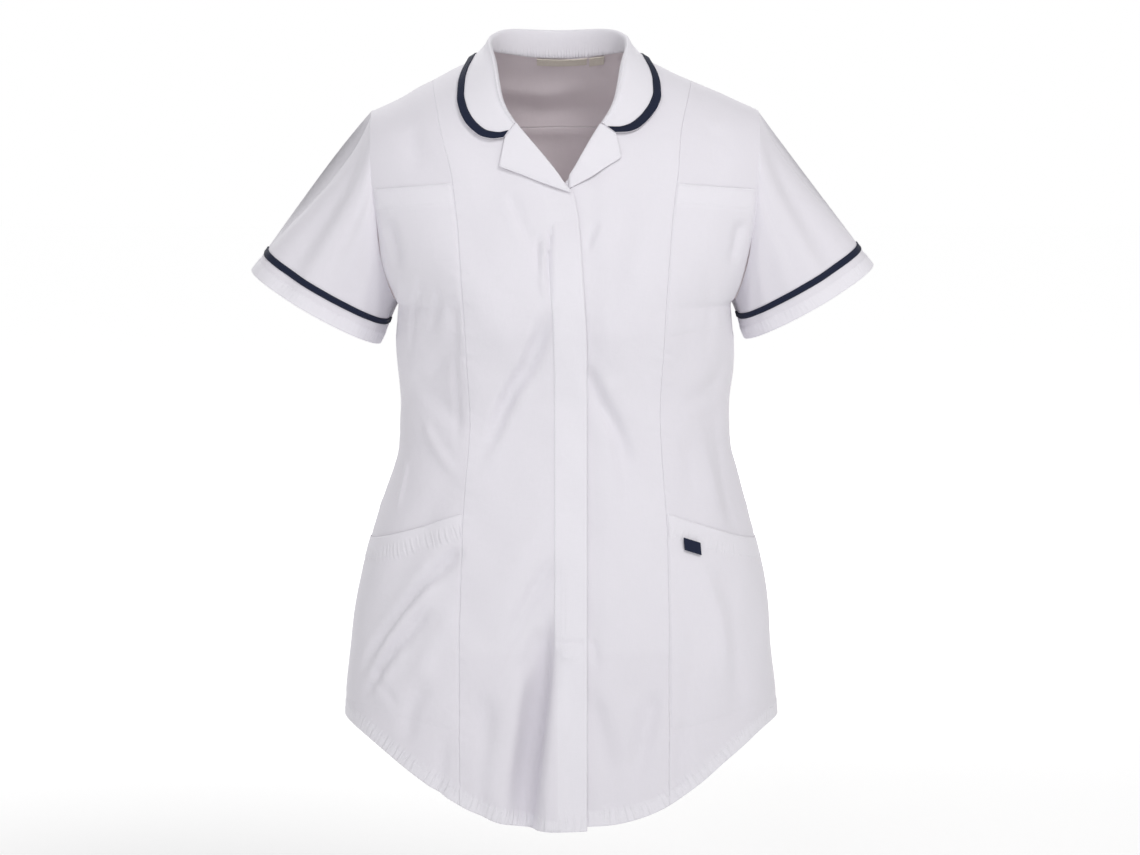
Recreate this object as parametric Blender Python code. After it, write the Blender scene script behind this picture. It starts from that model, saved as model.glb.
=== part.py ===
"""Nurse's short-sleeved tunic, hollow and in its worn shape.

Metres, +Z up. The front faces -Y and the wearer's right side is at -X. The origin is at
the base of the neck, where the shoulders hold the garment up, and the cloth hangs below it.
Every panel is a wall cut from one torso surface, between the seam lines named below.
"""

import math
from typing import Callable, NamedTuple

import bmesh
import bpy
import numpy as np

# Cloth and seams
CLOTH = 0.0012
TRIM = 0.0010
SEAM_GAP = 0.0003
HEM_DEPTH = 0.014
HEM_RAISE = 0.0007

# Torso, from the side seam round to the centre front or back
ROUNDNESS = 2.35
SHOULDER_DROP = math.tan(math.radians(25.5))
NECK_HALF = 0.0665
NECK_TOP = 0.013
ROUND_FROM = -0.100
LEVEL_STEP = 0.100
UNDERARM = -0.236
WRAP_DEPTH = 0.0025
WRAP_EDGE = 0.0215
WRAP_FREE = 0.0420
FLY_WIDTH = 0.0315
FLY_MARGIN = 0.0120
FLY_TOP = -0.10
FLY_FULL = -0.19
NECK_BACK = math.radians(33.6)
YOKE_SEAM = -0.061
YOKE_STEPS = 5
BACK_INNER_STEPS = 5
BACK_OUTER_STEPS = 5
BUST_X = 0.088
BUST_Z = -0.213
BUST_RISE = 0.007
BUST_SPREAD = 0.050

# Hem: a shirt tail, high at the side seams and low at the centre front and back
HEM_SIDE = -0.6460
HEM_FRONT = -0.7375
HEM_BACK = -0.7330
HEM_ROUND = 3.4

# Hip pocket mouth, slanting down to the side seam
MOUTH_IN = -0.4340
MOUTH_OUT = -0.4690
MOUTH_BAND = 0.0240
PRINCESS_HIP = 0.1000
HIP_SIDE = 0.1930

# Sleeve
CUFF_OUT = {-1: 0.2475, 1: 0.2425}
CUFF_HEIGHT = {-1: -0.2390, 1: -0.2340}
CUFF_TILT = math.radians(30.0)
CUFF_HALF_WIDTH = 0.0735
CUFF_HALF_DEPTH = 0.0560
CUFF_FRONT_DROP = 0.0055
SLEEVE_START = 0.0006
SLEEVE_LAP = 0.0007
SLEEVE_FLARE_TOP = 0.12
SLEEVE_FLARE_SIDE = 0.35
SLEEVE_HANDLE = 0.30
SLEEVE_HEM = 0.0215
BRAID_WIDTH = 0.0080

# Navy label on the left hip pocket, in the pocket's columns and in parts of its band's depth
LABEL_COLUMNS = [0.5, 1.0, 1.12]
LABEL_ROWS = [0.75, 1.22]
LABEL_LIFT = 0.0009

# Labels inside the back neck, in parts of the yoke's first row and in its columns
LABEL_GAP = 0.0005
LOOP_ROWS = [0.06, 0.62]
LOOP_COLUMNS = [8.2, 9, 10, 11, 11.4]
TAB_ROWS = [0.06, 0.80]
TAB_COLUMNS = [6.8, 7, 8]

# Collar
LAPEL_LIFT = 0.0022
COLLAR_EDGE_LIFT = 0.0026
COLLAR_FOOT_BACK = 0.0011
COLLAR_FOOT_IN = 0.0003
COLLAR_STAND_LOW = 0.0030
COLLAR_STAND_HIGH = 0.0200
COLLAR_CLOTH_LOW = 0.0100
ROLL_RADIUS = 0.0021
COLLAR_BRAID = 0.0078

# Lapels
LAPEL_COLUMNS = (0.0, 0.0, 0.12, 0.4, 0.7, 1.0)
LAPEL_ROLL = (0.0016, 0.0006)
LAPEL_FOOT = (0.0004, 0.0024)

# The garment hangs a little to its right at the neck and at the skirt's sides
SWAY_NECK = -0.0060
SWAY_SKIRT = -0.0045


class Ring(NamedTuple):
    """One level of the torso: its height, its half-width and its depths."""

    z: float
    half_width: float
    front: float
    back: float


RINGS = (
    Ring(-0.750, 0.2205, 0.1510, 0.1430),
    Ring(-0.700, 0.2195, 0.1500, 0.1420),
    Ring(-0.650, 0.2175, 0.1480, 0.1400),
    Ring(-0.600, 0.2130, 0.1460, 0.1370),
    Ring(-0.550, 0.2075, 0.1430, 0.1330),
    Ring(-0.500, 0.1990, 0.1375, 0.1270),
    Ring(-0.450, 0.1870, 0.1300, 0.1160),
    Ring(-0.410, 0.1740, 0.1240, 0.1050),
    Ring(-0.370, 0.1645, 0.1215, 0.0985),
    Ring(-0.334, 0.1640, 0.1240, 0.0990),
    Ring(-0.300, 0.1665, 0.1320, 0.1020),
    Ring(-0.274, 0.1675, 0.1400, 0.1055),
    Ring(-0.255, 0.1665, 0.1450, 0.1085),
    Ring(-0.236, 0.1650, 0.1465, 0.1110),
    Ring(-0.230, 0.1690, 0.1462, 0.1112),
    Ring(-0.216, 0.1760, 0.1452, 0.1125),
    Ring(-0.192, 0.1875, 0.1415, 0.1145),
    Ring(-0.157, 0.2015, 0.1330, 0.1155),
    Ring(-0.125, 0.2130, 0.1225, 0.1135),
    Ring(-0.100, 0.2170, 0.1150, 0.1095),
    Ring(-0.050, 0.2170, 0.1020, 0.0990),
    Ring(0.000, 0.2170, 0.0890, 0.0870),
    Ring(0.030, 0.2170, 0.0800, 0.0800),
)


class Edge(NamedTuple):
    """One point of a seam line: its height and its distance from the centre."""

    z: float
    x: float


PRINCESS = (
    Edge(-0.740, 0.1010), Edge(-0.640, 0.1012), Edge(-0.540, 0.1010), Edge(-0.440, 0.0985),
    Edge(-0.339, 0.0920), Edge(-0.296, 0.0935), Edge(-0.243, 0.0965), Edge(-0.180, 0.1005),
    Edge(-0.117, 0.1070), Edge(-0.055, 0.1180), Edge(-0.010, 0.1290),
)
ARMHOLE_FRONT = (
    Edge(-0.236, 0.1650), Edge(-0.230, 0.1682), Edge(-0.216, 0.1727), Edge(-0.188, 0.1790),
    Edge(-0.155, 0.1835), Edge(-0.120, 0.1872), Edge(-0.080, 0.1895), Edge(-0.044, 0.1910),
)
ARMHOLE_BACK = (
    Edge(-0.236, 0.1650), Edge(-0.230, 0.1680), Edge(-0.216, 0.1720), Edge(-0.188, 0.1770),
    Edge(-0.155, 0.1810), Edge(-0.120, 0.1845), Edge(-0.080, 0.1890), Edge(-0.044, 0.1910),
)
NECK_FRONT = (
    Edge(-0.1155, 0.0000), Edge(-0.0950, 0.0160), Edge(-0.0750, 0.0308), Edge(-0.0583, 0.0430),
    Edge(-0.0470, 0.0503), Edge(-0.0365, 0.0548), Edge(-0.0220, 0.0580), Edge(0.0000, 0.0620),
    Edge(0.0130, 0.0665),
)
WRAP_LINE = (
    Edge(-0.740, 0.0215), Edge(-0.300, 0.0215), Edge(-0.257, 0.0205), Edge(-0.213, 0.0178),
    Edge(-0.160, 0.0140), Edge(-0.127, 0.0085), Edge(-0.1155, 0.0000),
)
UNDER_LINE = (
    Edge(-0.740, -0.0060), Edge(-0.300, -0.0060), Edge(-0.160, -0.0060), Edge(-0.127, -0.0045),
    Edge(-0.1155, 0.0000),
)


class Fold(NamedTuple):
    """One soft crease between two points of the front (or back), seen square on."""

    x1: float
    z1: float
    x2: float
    z2: float
    width: float
    rise: float
    on_back: bool = False


FOLDS = (
    Fold(-0.020, -0.500, -0.042, -0.735, 0.016, -0.0065),
    Fold(-0.052, -0.560, -0.078, -0.735, 0.018, 0.0050),
    Fold(-0.016, -0.235, -0.085, -0.380, 0.016, -0.0050),
    Fold(-0.110, -0.395, -0.190, -0.560, 0.014, -0.0040),
    Fold(0.030, -0.300, 0.088, -0.430, 0.016, -0.0045),
    Fold(0.085, -0.560, 0.060, -0.720, 0.018, -0.0045),
    Fold(0.140, -0.330, 0.175, -0.455, 0.015, -0.0045),
    Fold(-0.135, -0.200, -0.120, -0.350, 0.016, -0.0040),
    Fold(-0.070, -0.380, -0.060, -0.735, 0.018, -0.0060, True),
    Fold(0.070, -0.390, 0.075, -0.735, 0.018, -0.0060, True),
    Fold(0.000, -0.420, 0.006, -0.720, 0.020, 0.0050, True),
    Fold(-0.120, -0.230, -0.040, -0.350, 0.018, -0.0045, True),
    Fold(0.125, -0.240, 0.045, -0.355, 0.018, -0.0045, True),
)


def smooth_curve(places: list, values: list) -> Callable[[float], float]:
    """A smooth curve through a short table, level beyond its ends."""
    order = np.argsort(places)
    xs = np.array(places, dtype=float)[order]
    ys = np.array(values, dtype=float)[order]
    steps = np.diff(ys) / np.diff(xs)
    slopes = np.zeros(len(xs))
    for i in range(1, len(xs) - 1):
        if steps[i - 1] * steps[i] > 0:
            slopes[i] = 2 * steps[i - 1] * steps[i] / (steps[i - 1] + steps[i])
    slopes[0] = steps[0]
    slopes[-1] = steps[-1]

    def value(x: float) -> float:
        x = min(max(x, xs[0]), xs[-1])
        i = min(int(np.searchsorted(xs, x, side="right")) - 1, len(xs) - 2)
        span = xs[i + 1] - xs[i]
        t = (x - xs[i]) / span
        rise = ys[i] * (1 + 2 * t) * (1 - t) ** 2 + ys[i + 1] * t * t * (3 - 2 * t)
        return rise + span * (slopes[i] * t * (1 - t) ** 2 - slopes[i + 1] * t * t * (1 - t))

    return value


def smoothstep(low: float, high: float, x: float) -> float:
    """0 at low, 1 at high, with soft ends."""
    t = min(max((x - low) / (high - low), 0.0), 1.0)
    return t * t * (3 - 2 * t)


HALF_WIDTH = smooth_curve([r.z for r in RINGS], [r.half_width for r in RINGS])
FRONT_DEPTH = smooth_curve([r.z for r in RINGS], [r.front for r in RINGS])
BACK_DEPTH = smooth_curve([r.z for r in RINGS], [r.back for r in RINGS])
PRINCESS_X = smooth_curve([e.z for e in PRINCESS], [e.x for e in PRINCESS])
ARM_FRONT_X = smooth_curve([e.z for e in ARMHOLE_FRONT], [e.x for e in ARMHOLE_FRONT])
ARM_BACK_X = smooth_curve([e.z for e in ARMHOLE_BACK], [e.x for e in ARMHOLE_BACK])
NECK_X = smooth_curve([e.z for e in NECK_FRONT], [e.x for e in NECK_FRONT])
WRAP_X = smooth_curve([e.z for e in WRAP_LINE], [e.x for e in WRAP_LINE])
UNDER_X = smooth_curve([e.z for e in UNDER_LINE], [e.x for e in UNDER_LINE])


def shoulder_top(x: float) -> float:
    """Height of the shoulder line at a distance from the centre, rounded over the neck."""
    x = abs(x)
    if x > NECK_HALF:
        return NECK_TOP - (x - NECK_HALF) * SHOULDER_DROP
    return NECK_TOP + SHOULDER_DROP * (NECK_HALF ** 2 - x * x) / (2 * NECK_HALF)


def ring_share(theta: float) -> float:
    """Share of the half-width at an angle round the torso, 0 at the left side seam."""
    c = math.cos(theta)
    return math.copysign(abs(c) ** (2 / ROUNDNESS), c)


def angle_at(x: float, z: float) -> float:
    """Angle round the torso, from 0 to pi, of a distance from the centre."""
    share = min(max(x / HALF_WIDTH(z), -1.0), 1.0)
    return math.acos(math.copysign(abs(share) ** (ROUNDNESS / 2), share))


def level_of(x: float, z: float) -> float:
    """Level of a height: 0 on the shoulder line, 1 where the shoulder has rounded over."""
    if z <= ROUND_FROM:
        return 1 + (ROUND_FROM - z) / LEVEL_STEP
    share = min(max((z - ROUND_FROM) / (shoulder_top(x) - ROUND_FROM), 0.0), 1.0)
    return math.acos(share) / (math.pi / 2)


def height_of(x: float, level: float) -> float:
    """Height of a level at a distance from the centre."""
    if level >= 1:
        return ROUND_FROM - (level - 1) * LEVEL_STEP
    return ROUND_FROM + (shoulder_top(x) - ROUND_FROM) * math.cos(level * math.pi / 2)


def fold_rise(x: float, z: float, on_back: bool) -> float:
    """How far the folds push the cloth out (or in) at a point."""
    total = 0.0
    for fold in FOLDS:
        if fold.on_back != on_back:
            continue
        dx = fold.x2 - fold.x1
        dz = fold.z2 - fold.z1
        along = ((x - fold.x1) * dx + (z - fold.z1) * dz) / (dx * dx + dz * dz)
        if along < -0.2 or along > 1.2:
            continue
        across = abs((x - fold.x1) * dz - (z - fold.z1) * dx) / math.hypot(dx, dz)
        ends = smoothstep(-0.2, 0.35, along) * (1 - smoothstep(0.75, 1.2, along))
        total += fold.rise * ends * math.exp(-((across / fold.width) ** 2))
    return total


def torso(theta: float, level: float) -> np.ndarray:
    """Outer face of the cloth, theta from 0 to pi round the front and from 0 to -pi round the back."""
    x = 0.0
    z = ROUND_FROM
    for _ in range(3 if level < 1 else 1):
        z = height_of(x, level)
        x = HALF_WIDTH(z) * ring_share(theta)
    z = height_of(x, level)
    over = math.sin(min(level, 1.0) * math.pi / 2)
    reach = abs(math.sin(theta)) ** (2 / ROUNDNESS)
    on_back = theta < 0
    if on_back:
        depth = BACK_DEPTH(z) * reach
    else:
        depth = -FRONT_DEPTH(z) * reach
        bust = math.hypot((abs(x) - BUST_X) / BUST_SPREAD, (z - BUST_Z) / BUST_SPREAD)
        depth -= BUST_RISE * math.exp(-bust * bust)
    outward = np.array([math.cos(theta), -math.sin(theta), 0.0])
    quiet = smoothstep(0.0, 0.35, abs(math.sin(theta))) * over
    return np.array([x, depth * over, z]) + outward * fold_rise(x, z, on_back) * quiet


def torso_normal(theta: float, level: float) -> np.ndarray:
    """Unit vector straight out of the cloth."""
    small = 1e-4
    around = torso(theta + small, level) - torso(theta - small, level)
    if level < small:
        down = torso(theta, level + 2 * small) - torso(theta, level)
        down[1] = 0.0
        around = np.array([0.0, -1.0, 0.0])
        if theta < 0:
            around = -around
            down = -down
    else:
        down = torso(theta, level + small) - torso(theta, level - small)
    normal = np.cross(around, down)
    normal /= np.linalg.norm(normal)
    facing = np.array([math.cos(theta), -math.sin(theta), 0.3 if level < 1 else 0.0])
    return normal if normal @ facing > 0 else -normal


def hem_height(theta: float) -> float:
    """Height of the hem at an angle round the torso."""
    low = HEM_BACK if theta < 0 else HEM_FRONT
    return HEM_SIDE + (low - HEM_SIDE) * abs(math.sin(theta)) ** HEM_ROUND


class Row(NamedTuple):
    """One line of points round the torso. Only the fields that its kind needs are set."""

    kind: str
    at: float = 0.0
    side: float = 0.0


SHOULDER_ROWS = [Row("over", share) for share in (0.0, 0.2, 0.4, 0.55, 0.66, 0.77, 0.88, 1.0)]
CHEST_ROWS = [Row("slant", -0.1155, -0.1230)]
CHEST_ROWS += [Row("flat", z) for z in (-0.133, -0.152, -0.174, -0.197, -0.216, -0.230, UNDERARM)]
WAIST_ROWS = [Row("flat", -0.247), Row("slant", -0.265, -0.254)]
WAIST_ROWS += [Row("flat", z) for z in (-0.292, -0.322, -0.352, -0.382, -0.410)]
MOUTH_ROWS = [Row("slant", MOUTH_IN, MOUTH_OUT), Row("slant", MOUTH_IN - MOUTH_BAND, MOUTH_OUT - MOUTH_BAND)]
SKIRT_ROWS = [Row("skirt", share) for share in (0.15, 0.34, 0.54, 0.74)]
HEM_ROWS = [Row("hem", HEM_DEPTH + 0.001), Row("hem", HEM_DEPTH), Row("hem", 0.0)]
POCKET_BOTTOM = Row("slant", -0.645, HEM_SIDE + 0.016)
FRONT_ROWS = SHOULDER_ROWS + CHEST_ROWS + WAIST_ROWS + MOUTH_ROWS + SKIRT_ROWS + [POCKET_BOTTOM] + HEM_ROWS
BACK_ROWS = [Row("flat", z) for z in (YOKE_SEAM, -0.078)] + [Row("flat", ROUND_FROM)]
BACK_ROWS += FRONT_ROWS[len(SHOULDER_ROWS):]
UNDERARM_ROW = FRONT_ROWS.index(Row("flat", UNDERARM))
BREAST_TOP = FRONT_ROWS.index(CHEST_ROWS[0])
BREAST_BOTTOM = FRONT_ROWS.index(WAIST_ROWS[1])
HIP_TOP = FRONT_ROWS.index(MOUTH_ROWS[0])
HIP_BOTTOM = FRONT_ROWS.index(POCKET_BOTTOM)


def slanted_height(row: Row, theta: float, x: float) -> float:
    """Height of a slanted row: straight from the princess seam to the side seam."""
    if theta < 0:
        return row.side
    share = min(max((abs(x) - PRINCESS_HIP) / (HIP_SIDE - PRINCESS_HIP), 0.0), 1.0)
    return row.at + (row.side - row.at) * share


def row_level(row: Row, theta: float) -> float:
    """Level of a row at an angle round the torso."""
    if row.kind == "over":
        return row.at
    if row.kind == "hem":
        return level_of(0.2, hem_height(theta) + row.at)
    if row.kind == "skirt":
        top = row_level(MOUTH_ROWS[1], theta)
        end = row_level(POCKET_BOTTOM, theta)
        return top + (end - top) * (row.at / 0.9)
    z = row.at
    for _ in range(4):
        x = HALF_WIDTH(z) * ring_share(theta)
        if row.kind == "slant":
            z = slanted_height(row, theta, x)
    return level_of(x, z)


Boundary = Callable[[Row], float]


def seam_angle(distance: Callable[[float], float], side: int, on_back: bool = False) -> Boundary:
    """The angle at which each row meets a seam line, on the left (1) or right (-1) side."""

    def angle(row: Row) -> float:
        theta = math.pi / 4
        for _ in range(12):
            sheet = -theta if on_back else theta
            level = row_level(row, sheet)
            x = torso_x(sheet, level)
            theta = angle_at(side * distance(height_of(x, level)), height_of(x, level))
        return -theta if on_back else theta

    return angle


def torso_x(theta: float, level: float) -> float:
    """Distance from the centre at an angle and level."""
    x = 0.0
    for _ in range(3):
        x = HALF_WIDTH(height_of(x, level)) * ring_share(theta)
    return x


def arm_or_side(side: int, on_back: bool) -> Boundary:
    """A panel's outer edge: the armhole, and below it the side seam."""
    armhole = seam_angle(ARM_BACK_X if on_back else ARM_FRONT_X, side, on_back)
    seam = 0.0 if side > 0 else math.pi

    def angle(row: Row) -> float:
        low = row.kind in ("hem", "skirt") or (row.kind != "over" and row.at <= UNDERARM)
        if low:
            return -seam if on_back else seam
        return armhole(row)

    return angle


def closing_edge(side: int) -> Boundary:
    """A centre front's inner edge: the neckline, then the edge that wraps over or under."""
    wrap = WRAP_X if side < 0 else UNDER_X

    def distance(z: float) -> float:
        if z > NECK_FRONT[0].z:
            return side * NECK_X(z)
        return wrap(z)

    return seam_angle(distance, 1)


def fly_line(row: Row) -> float:
    """The stitched line of the fly band, on the right front."""
    theta = closing_edge(-1)(row)
    level = row_level(row, theta)
    x = torso_x(theta, level)
    z = height_of(x, level)
    margin = FLY_MARGIN + (FLY_WIDTH - FLY_MARGIN) * smoothstep(FLY_TOP, FLY_FULL, z)
    return angle_at(x - margin, z)


class Panel:
    """A patch of the torso: its outer points and the directions straight out of them."""

    def __init__(self, points: np.ndarray, normals: np.ndarray) -> None:
        self.points = points
        self.normals = normals

    def at(self, row: int, column: float) -> tuple:
        """Point and direction on a row's line, part of the way between two columns."""
        low = min(int(column), self.points.shape[1] - 2)
        share = column - low
        point = self.points[row, low] * (1 - share) + self.points[row, low + 1] * share
        normal = self.normals[row, low] * (1 - share) + self.normals[row, low + 1] * share
        return point, normal / np.linalg.norm(normal)

    def part(self, rows: list, columns: list, lift: float) -> "Panel":
        """A smaller patch on this one, moved out by lift."""
        points = np.zeros((len(rows), len(columns), 3))
        normals = np.zeros_like(points)
        for i, row in enumerate(rows):
            for j, column in enumerate(columns):
                point, normal = self.at(row, column)
                points[i, j] = point + normal * lift
                normals[i, j] = normal
        return Panel(points, normals)


def inner_patch(panel: Panel, rows: list, columns: list) -> Panel:
    """A small patch on a panel's inner face, its rows and columns given in parts of a step."""
    points = np.zeros((len(rows), len(columns), 3))
    normals = np.zeros_like(points)
    for i, row in enumerate(rows):
        for j, column in enumerate(columns):
            high, normal = panel.at(0, column)
            low, _ = panel.at(1, column)
            points[i, j] = high + (low - high) * row - normal * (CLOTH + LABEL_GAP)
            normals[i, j] = -normal
    return Panel(points, normals)


def cut_panel(rows: list, lines: list, counts: list) -> Panel:
    """A patch between boundary lines, with a number of columns between each two lines."""
    count = sum(counts) + 1
    points = np.zeros((len(rows), count, 3))
    normals = np.zeros_like(points)
    for i, row in enumerate(rows):
        stops = [line(row) for line in lines]
        angles = [stops[0]]
        for start, end, steps in zip(stops, stops[1:], counts):
            angles += [start + (end - start) * (k + 1) / steps for k in range(steps)]
        for j, theta in enumerate(angles):
            level = row_level(row, theta)
            points[i, j] = torso(theta, level)
            normals[i, j] = torso_normal(theta, level)
    return Panel(points, normals)


def draw_in(points: np.ndarray, edges: str, gap: float = SEAM_GAP) -> np.ndarray:
    """The same patch with the named edges (top, bottom, left, right) moved in by half a gap."""
    drawn = points.copy()
    pairs = {
        "top": (np.s_[0], np.s_[1]),
        "bottom": (np.s_[-1], np.s_[-2]),
        "left": (np.s_[:, 0], np.s_[:, 1]),
        "right": (np.s_[:, -1], np.s_[:, -2]),
    }
    for edge in edges.split():
        outer, inner = pairs[edge]
        step = drawn[inner] - drawn[outer]
        length = np.linalg.norm(step, axis=-1, keepdims=True)
        drawn[outer] += step / length * (gap / 2)
    return drawn


def make_material(name: str, colour: tuple, roughness: float) -> bpy.types.Material:
    """A plain Principled material."""
    material = bpy.data.materials.new(name)
    material.use_nodes = True
    shader = material.node_tree.nodes["Principled BSDF"]
    shader.inputs["Base Color"].default_value = (*colour, 1.0)
    shader.inputs["Roughness"].default_value = roughness
    shader.inputs["Metallic"].default_value = 0.0
    return material


def sway(point: np.ndarray) -> tuple:
    """Where a point lies once the garment has settled a little to one side."""
    x, y, z = point
    neck = smoothstep(-0.112, -0.055, z) * (1 - smoothstep(0.085, 0.165, abs(x)))
    skirt = smoothstep(-0.38, -0.62, z) * smoothstep(0.080, 0.200, abs(x))
    return x + SWAY_NECK * neck + SWAY_SKIRT * skirt, y, z


def add_object(name: str, verts: list, faces: list, material: bpy.types.Material) -> None:
    """Links a closed mesh with its faces pointing out."""
    mesh = bpy.data.meshes.new(name)
    work = bmesh.new()
    corners = [work.verts.new(sway(v)) for v in verts]
    for face in faces:
        work.faces.new([corners[k] for k in face])
    bmesh.ops.recalc_face_normals(work, faces=work.faces)
    work.to_mesh(mesh)
    work.free()
    mesh.shade_smooth()
    mesh.set_sharp_from_angle(angle=math.radians(40))
    mesh.materials.append(material)
    bpy.context.collection.objects.link(bpy.data.objects.new(name, mesh))


def wall(name: str, outer: np.ndarray, inner: np.ndarray, material: bpy.types.Material,
         ring: bool = False) -> None:
    """A cloth wall between two matching grids, closed at its edges. A ring's columns join up."""
    rows, columns = outer.shape[:2]
    verts = [outer[i, j] for i in range(rows) for j in range(columns)]
    verts += [inner[i, j] for i in range(rows) for j in range(columns)]
    layer = rows * columns

    def corner(i: int, j: int, side: int) -> int:
        return side * layer + i * columns + j % columns

    faces = []
    spans = columns if ring else columns - 1
    for side in (0, 1):
        for i in range(rows - 1):
            for j in range(spans):
                a, b = corner(i, j, side), corner(i + 1, j, side)
                c, d = corner(i + 1, j + 1, side), corner(i, j + 1, side)
                triangles = [(a, b, c), (a, c, d)]
                faces += triangles if side == 0 else [t[::-1] for t in triangles]
    for i, turn in ((0, 1), (rows - 1, -1)):
        for j in range(spans):
            a, b = corner(i, j, 0), corner(i, j + 1, 0)
            c, d = corner(i, j + 1, 1), corner(i, j, 1)
            faces += [t[::turn] for t in ((a, b, c), (a, c, d))]
    if not ring:
        for j, turn in ((0, -1), (columns - 1, 1)):
            for i in range(rows - 1):
                a, b = corner(i, j, 0), corner(i + 1, j, 0)
                c, d = corner(i + 1, j, 1), corner(i, j, 1)
                faces += [t[::turn] for t in ((a, b, c), (a, c, d))]
    add_object(name, verts, faces, material)


def panel_wall(name: str, panel: Panel, edges: str, material: bpy.types.Material,
               hem: bool = False) -> None:
    """A panel as cloth, drawn in at its seams, with its turned hem raised if it has one."""
    points = draw_in(panel.points, edges)
    outer = points.copy()
    if hem:
        outer[-2:] += panel.normals[-2:] * HEM_RAISE
    wall(name, outer, points - panel.normals * CLOTH, material)


def laid_wall(name: str, patch: Panel, thickness: float, material: bpy.types.Material) -> None:
    """A piece that lies on a panel."""
    wall(name, patch.points + patch.normals * thickness, patch.points, material)


def lower_wrap(panel: Panel) -> None:
    """Lets the left front pass under the right one at the closing."""
    for i in range(panel.points.shape[0]):
        for j in range(panel.points.shape[1]):
            x = panel.points[i, j, 0]
            under = 1 - smoothstep(WRAP_EDGE + 0.002, WRAP_FREE, x)
            low = smoothstep(NECK_FRONT[3].z, NECK_FRONT[0].z, panel.points[i, j, 2])
            panel.points[i, j] -= panel.normals[i, j] * WRAP_DEPTH * under * low


def neck_level(x: float) -> float:
    """Level of the back neckline: an arc from shoulder to shoulder behind the neck."""
    return NECK_BACK / (math.pi / 2) * math.sqrt(max(0.0, 1 - (x / NECK_HALF) ** 2))


def back_shares() -> list:
    """Columns of the back, as shares from the centre to the armhole, one at the neck point."""
    top = seam_angle(ARM_BACK_X, 1, True)(SHOULDER_ROWS[0])
    neck = angle_at(NECK_HALF, 0.0)
    corner = (math.pi / 2 - neck) / (math.pi / 2 + top)
    inner = [corner * k / BACK_INNER_STEPS for k in range(BACK_INNER_STEPS)]
    outer = [corner + (1 - corner) * k / BACK_OUTER_STEPS for k in range(BACK_OUTER_STEPS + 1)]
    half = inner + outer
    return [-share for share in half[:0:-1]] + half


def back_patch(rows: list) -> Panel:
    """The back below the yoke, from the left edge to the right edge."""
    shares = back_shares()
    left = arm_or_side(1, True)
    points = np.zeros((len(rows), len(shares), 3))
    normals = np.zeros_like(points)
    for i, row in enumerate(rows):
        edge = -left(row)
        for j, share in enumerate(shares):
            theta = -(math.pi / 2 + share * (math.pi / 2 - edge))
            level = row_level(row, theta)
            points[i, j] = torso(theta, level)
            normals[i, j] = torso_normal(theta, level)
    return Panel(points, normals)


def yoke_patch() -> Panel:
    """The back yoke, from the neckline and shoulders down to the yoke seam."""
    shares = back_shares()
    seam_row = Row("flat", YOKE_SEAM)
    armhole = seam_angle(ARM_BACK_X, 1, True)
    points = np.zeros((YOKE_STEPS + 1, len(shares), 3))
    normals = np.zeros_like(points)
    top_edge = -armhole(SHOULDER_ROWS[0])
    seam_edge = -armhole(seam_row)
    for j, share in enumerate(shares):
        top_theta = -(math.pi / 2 + share * (math.pi / 2 - top_edge))
        seam_theta = -(math.pi / 2 + share * (math.pi / 2 - seam_edge))
        top = neck_level(min(abs(torso_x(top_theta, 0.0)), NECK_HALF))
        end = row_level(seam_row, seam_theta)
        for i in range(YOKE_STEPS + 1):
            down = i / YOKE_STEPS
            theta = top_theta + (seam_theta - top_theta) * down
            level = top + (end - top) * down
            points[i, j] = torso(theta, level)
            normals[i, j] = torso_normal(theta, level)
    return Panel(points, normals)


def armhole_ring(front: Panel, yoke: Panel, back: Panel, side: int) -> tuple:
    """Armhole points from the shoulder down the front, under the arm and up the back."""
    down = [(front.points[i, -1], front.normals[i, -1]) for i in range(UNDERARM_ROW + 1)]
    back_edge = -1 if side < 0 else 0
    up = [(yoke.points[i, back_edge], yoke.normals[i, back_edge]) for i in range(1, YOKE_STEPS + 1)]
    underarm_back = UNDERARM_ROW - len(SHOULDER_ROWS) + 3
    up += [(back.points[i, back_edge], back.normals[i, back_edge]) for i in range(1, underarm_back)]
    ring = down + up[::-1]
    return np.array([p for p, _ in ring]), np.array([n for _, n in ring])


class CuffRow(NamedTuple):
    """One ring of a sleeve: its share of the way to the hem, or its distance above the hem."""

    share: float
    above_hem: float = 0.0


SLEEVE_ROWS = (
    CuffRow(0.0), CuffRow(0.07), CuffRow(0.2), CuffRow(0.38), CuffRow(0.6),
    CuffRow(1.0, SLEEVE_HEM + BRAID_WIDTH), CuffRow(1.0, SLEEVE_HEM), CuffRow(1.0, 0.0125),
    CuffRow(1.0, 0.0115), CuffRow(1.0, 0.0),
)
BRAID_ROW = 5
SLEEVE_HEM_ROW = 8


class SleeveFold(NamedTuple):
    """One crease of a sleeve, by its angle from the top towards the front and its width."""

    angle: float
    start: float
    end: float
    width: float
    rise: float


SLEEVE_FOLDS = (
    SleeveFold(math.radians(55), 0.10, 0.80, 0.30, -0.0030),
    SleeveFold(math.radians(115), 0.25, 0.95, 0.30, -0.0030),
    SleeveFold(math.radians(-65), 0.10, 0.90, 0.30, -0.0032),
    SleeveFold(math.radians(-120), 0.25, 0.95, 0.30, -0.0028),
)


def unit(vector: np.ndarray) -> np.ndarray:
    """The same direction with a length of 1."""
    return vector / np.linalg.norm(vector)


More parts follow.
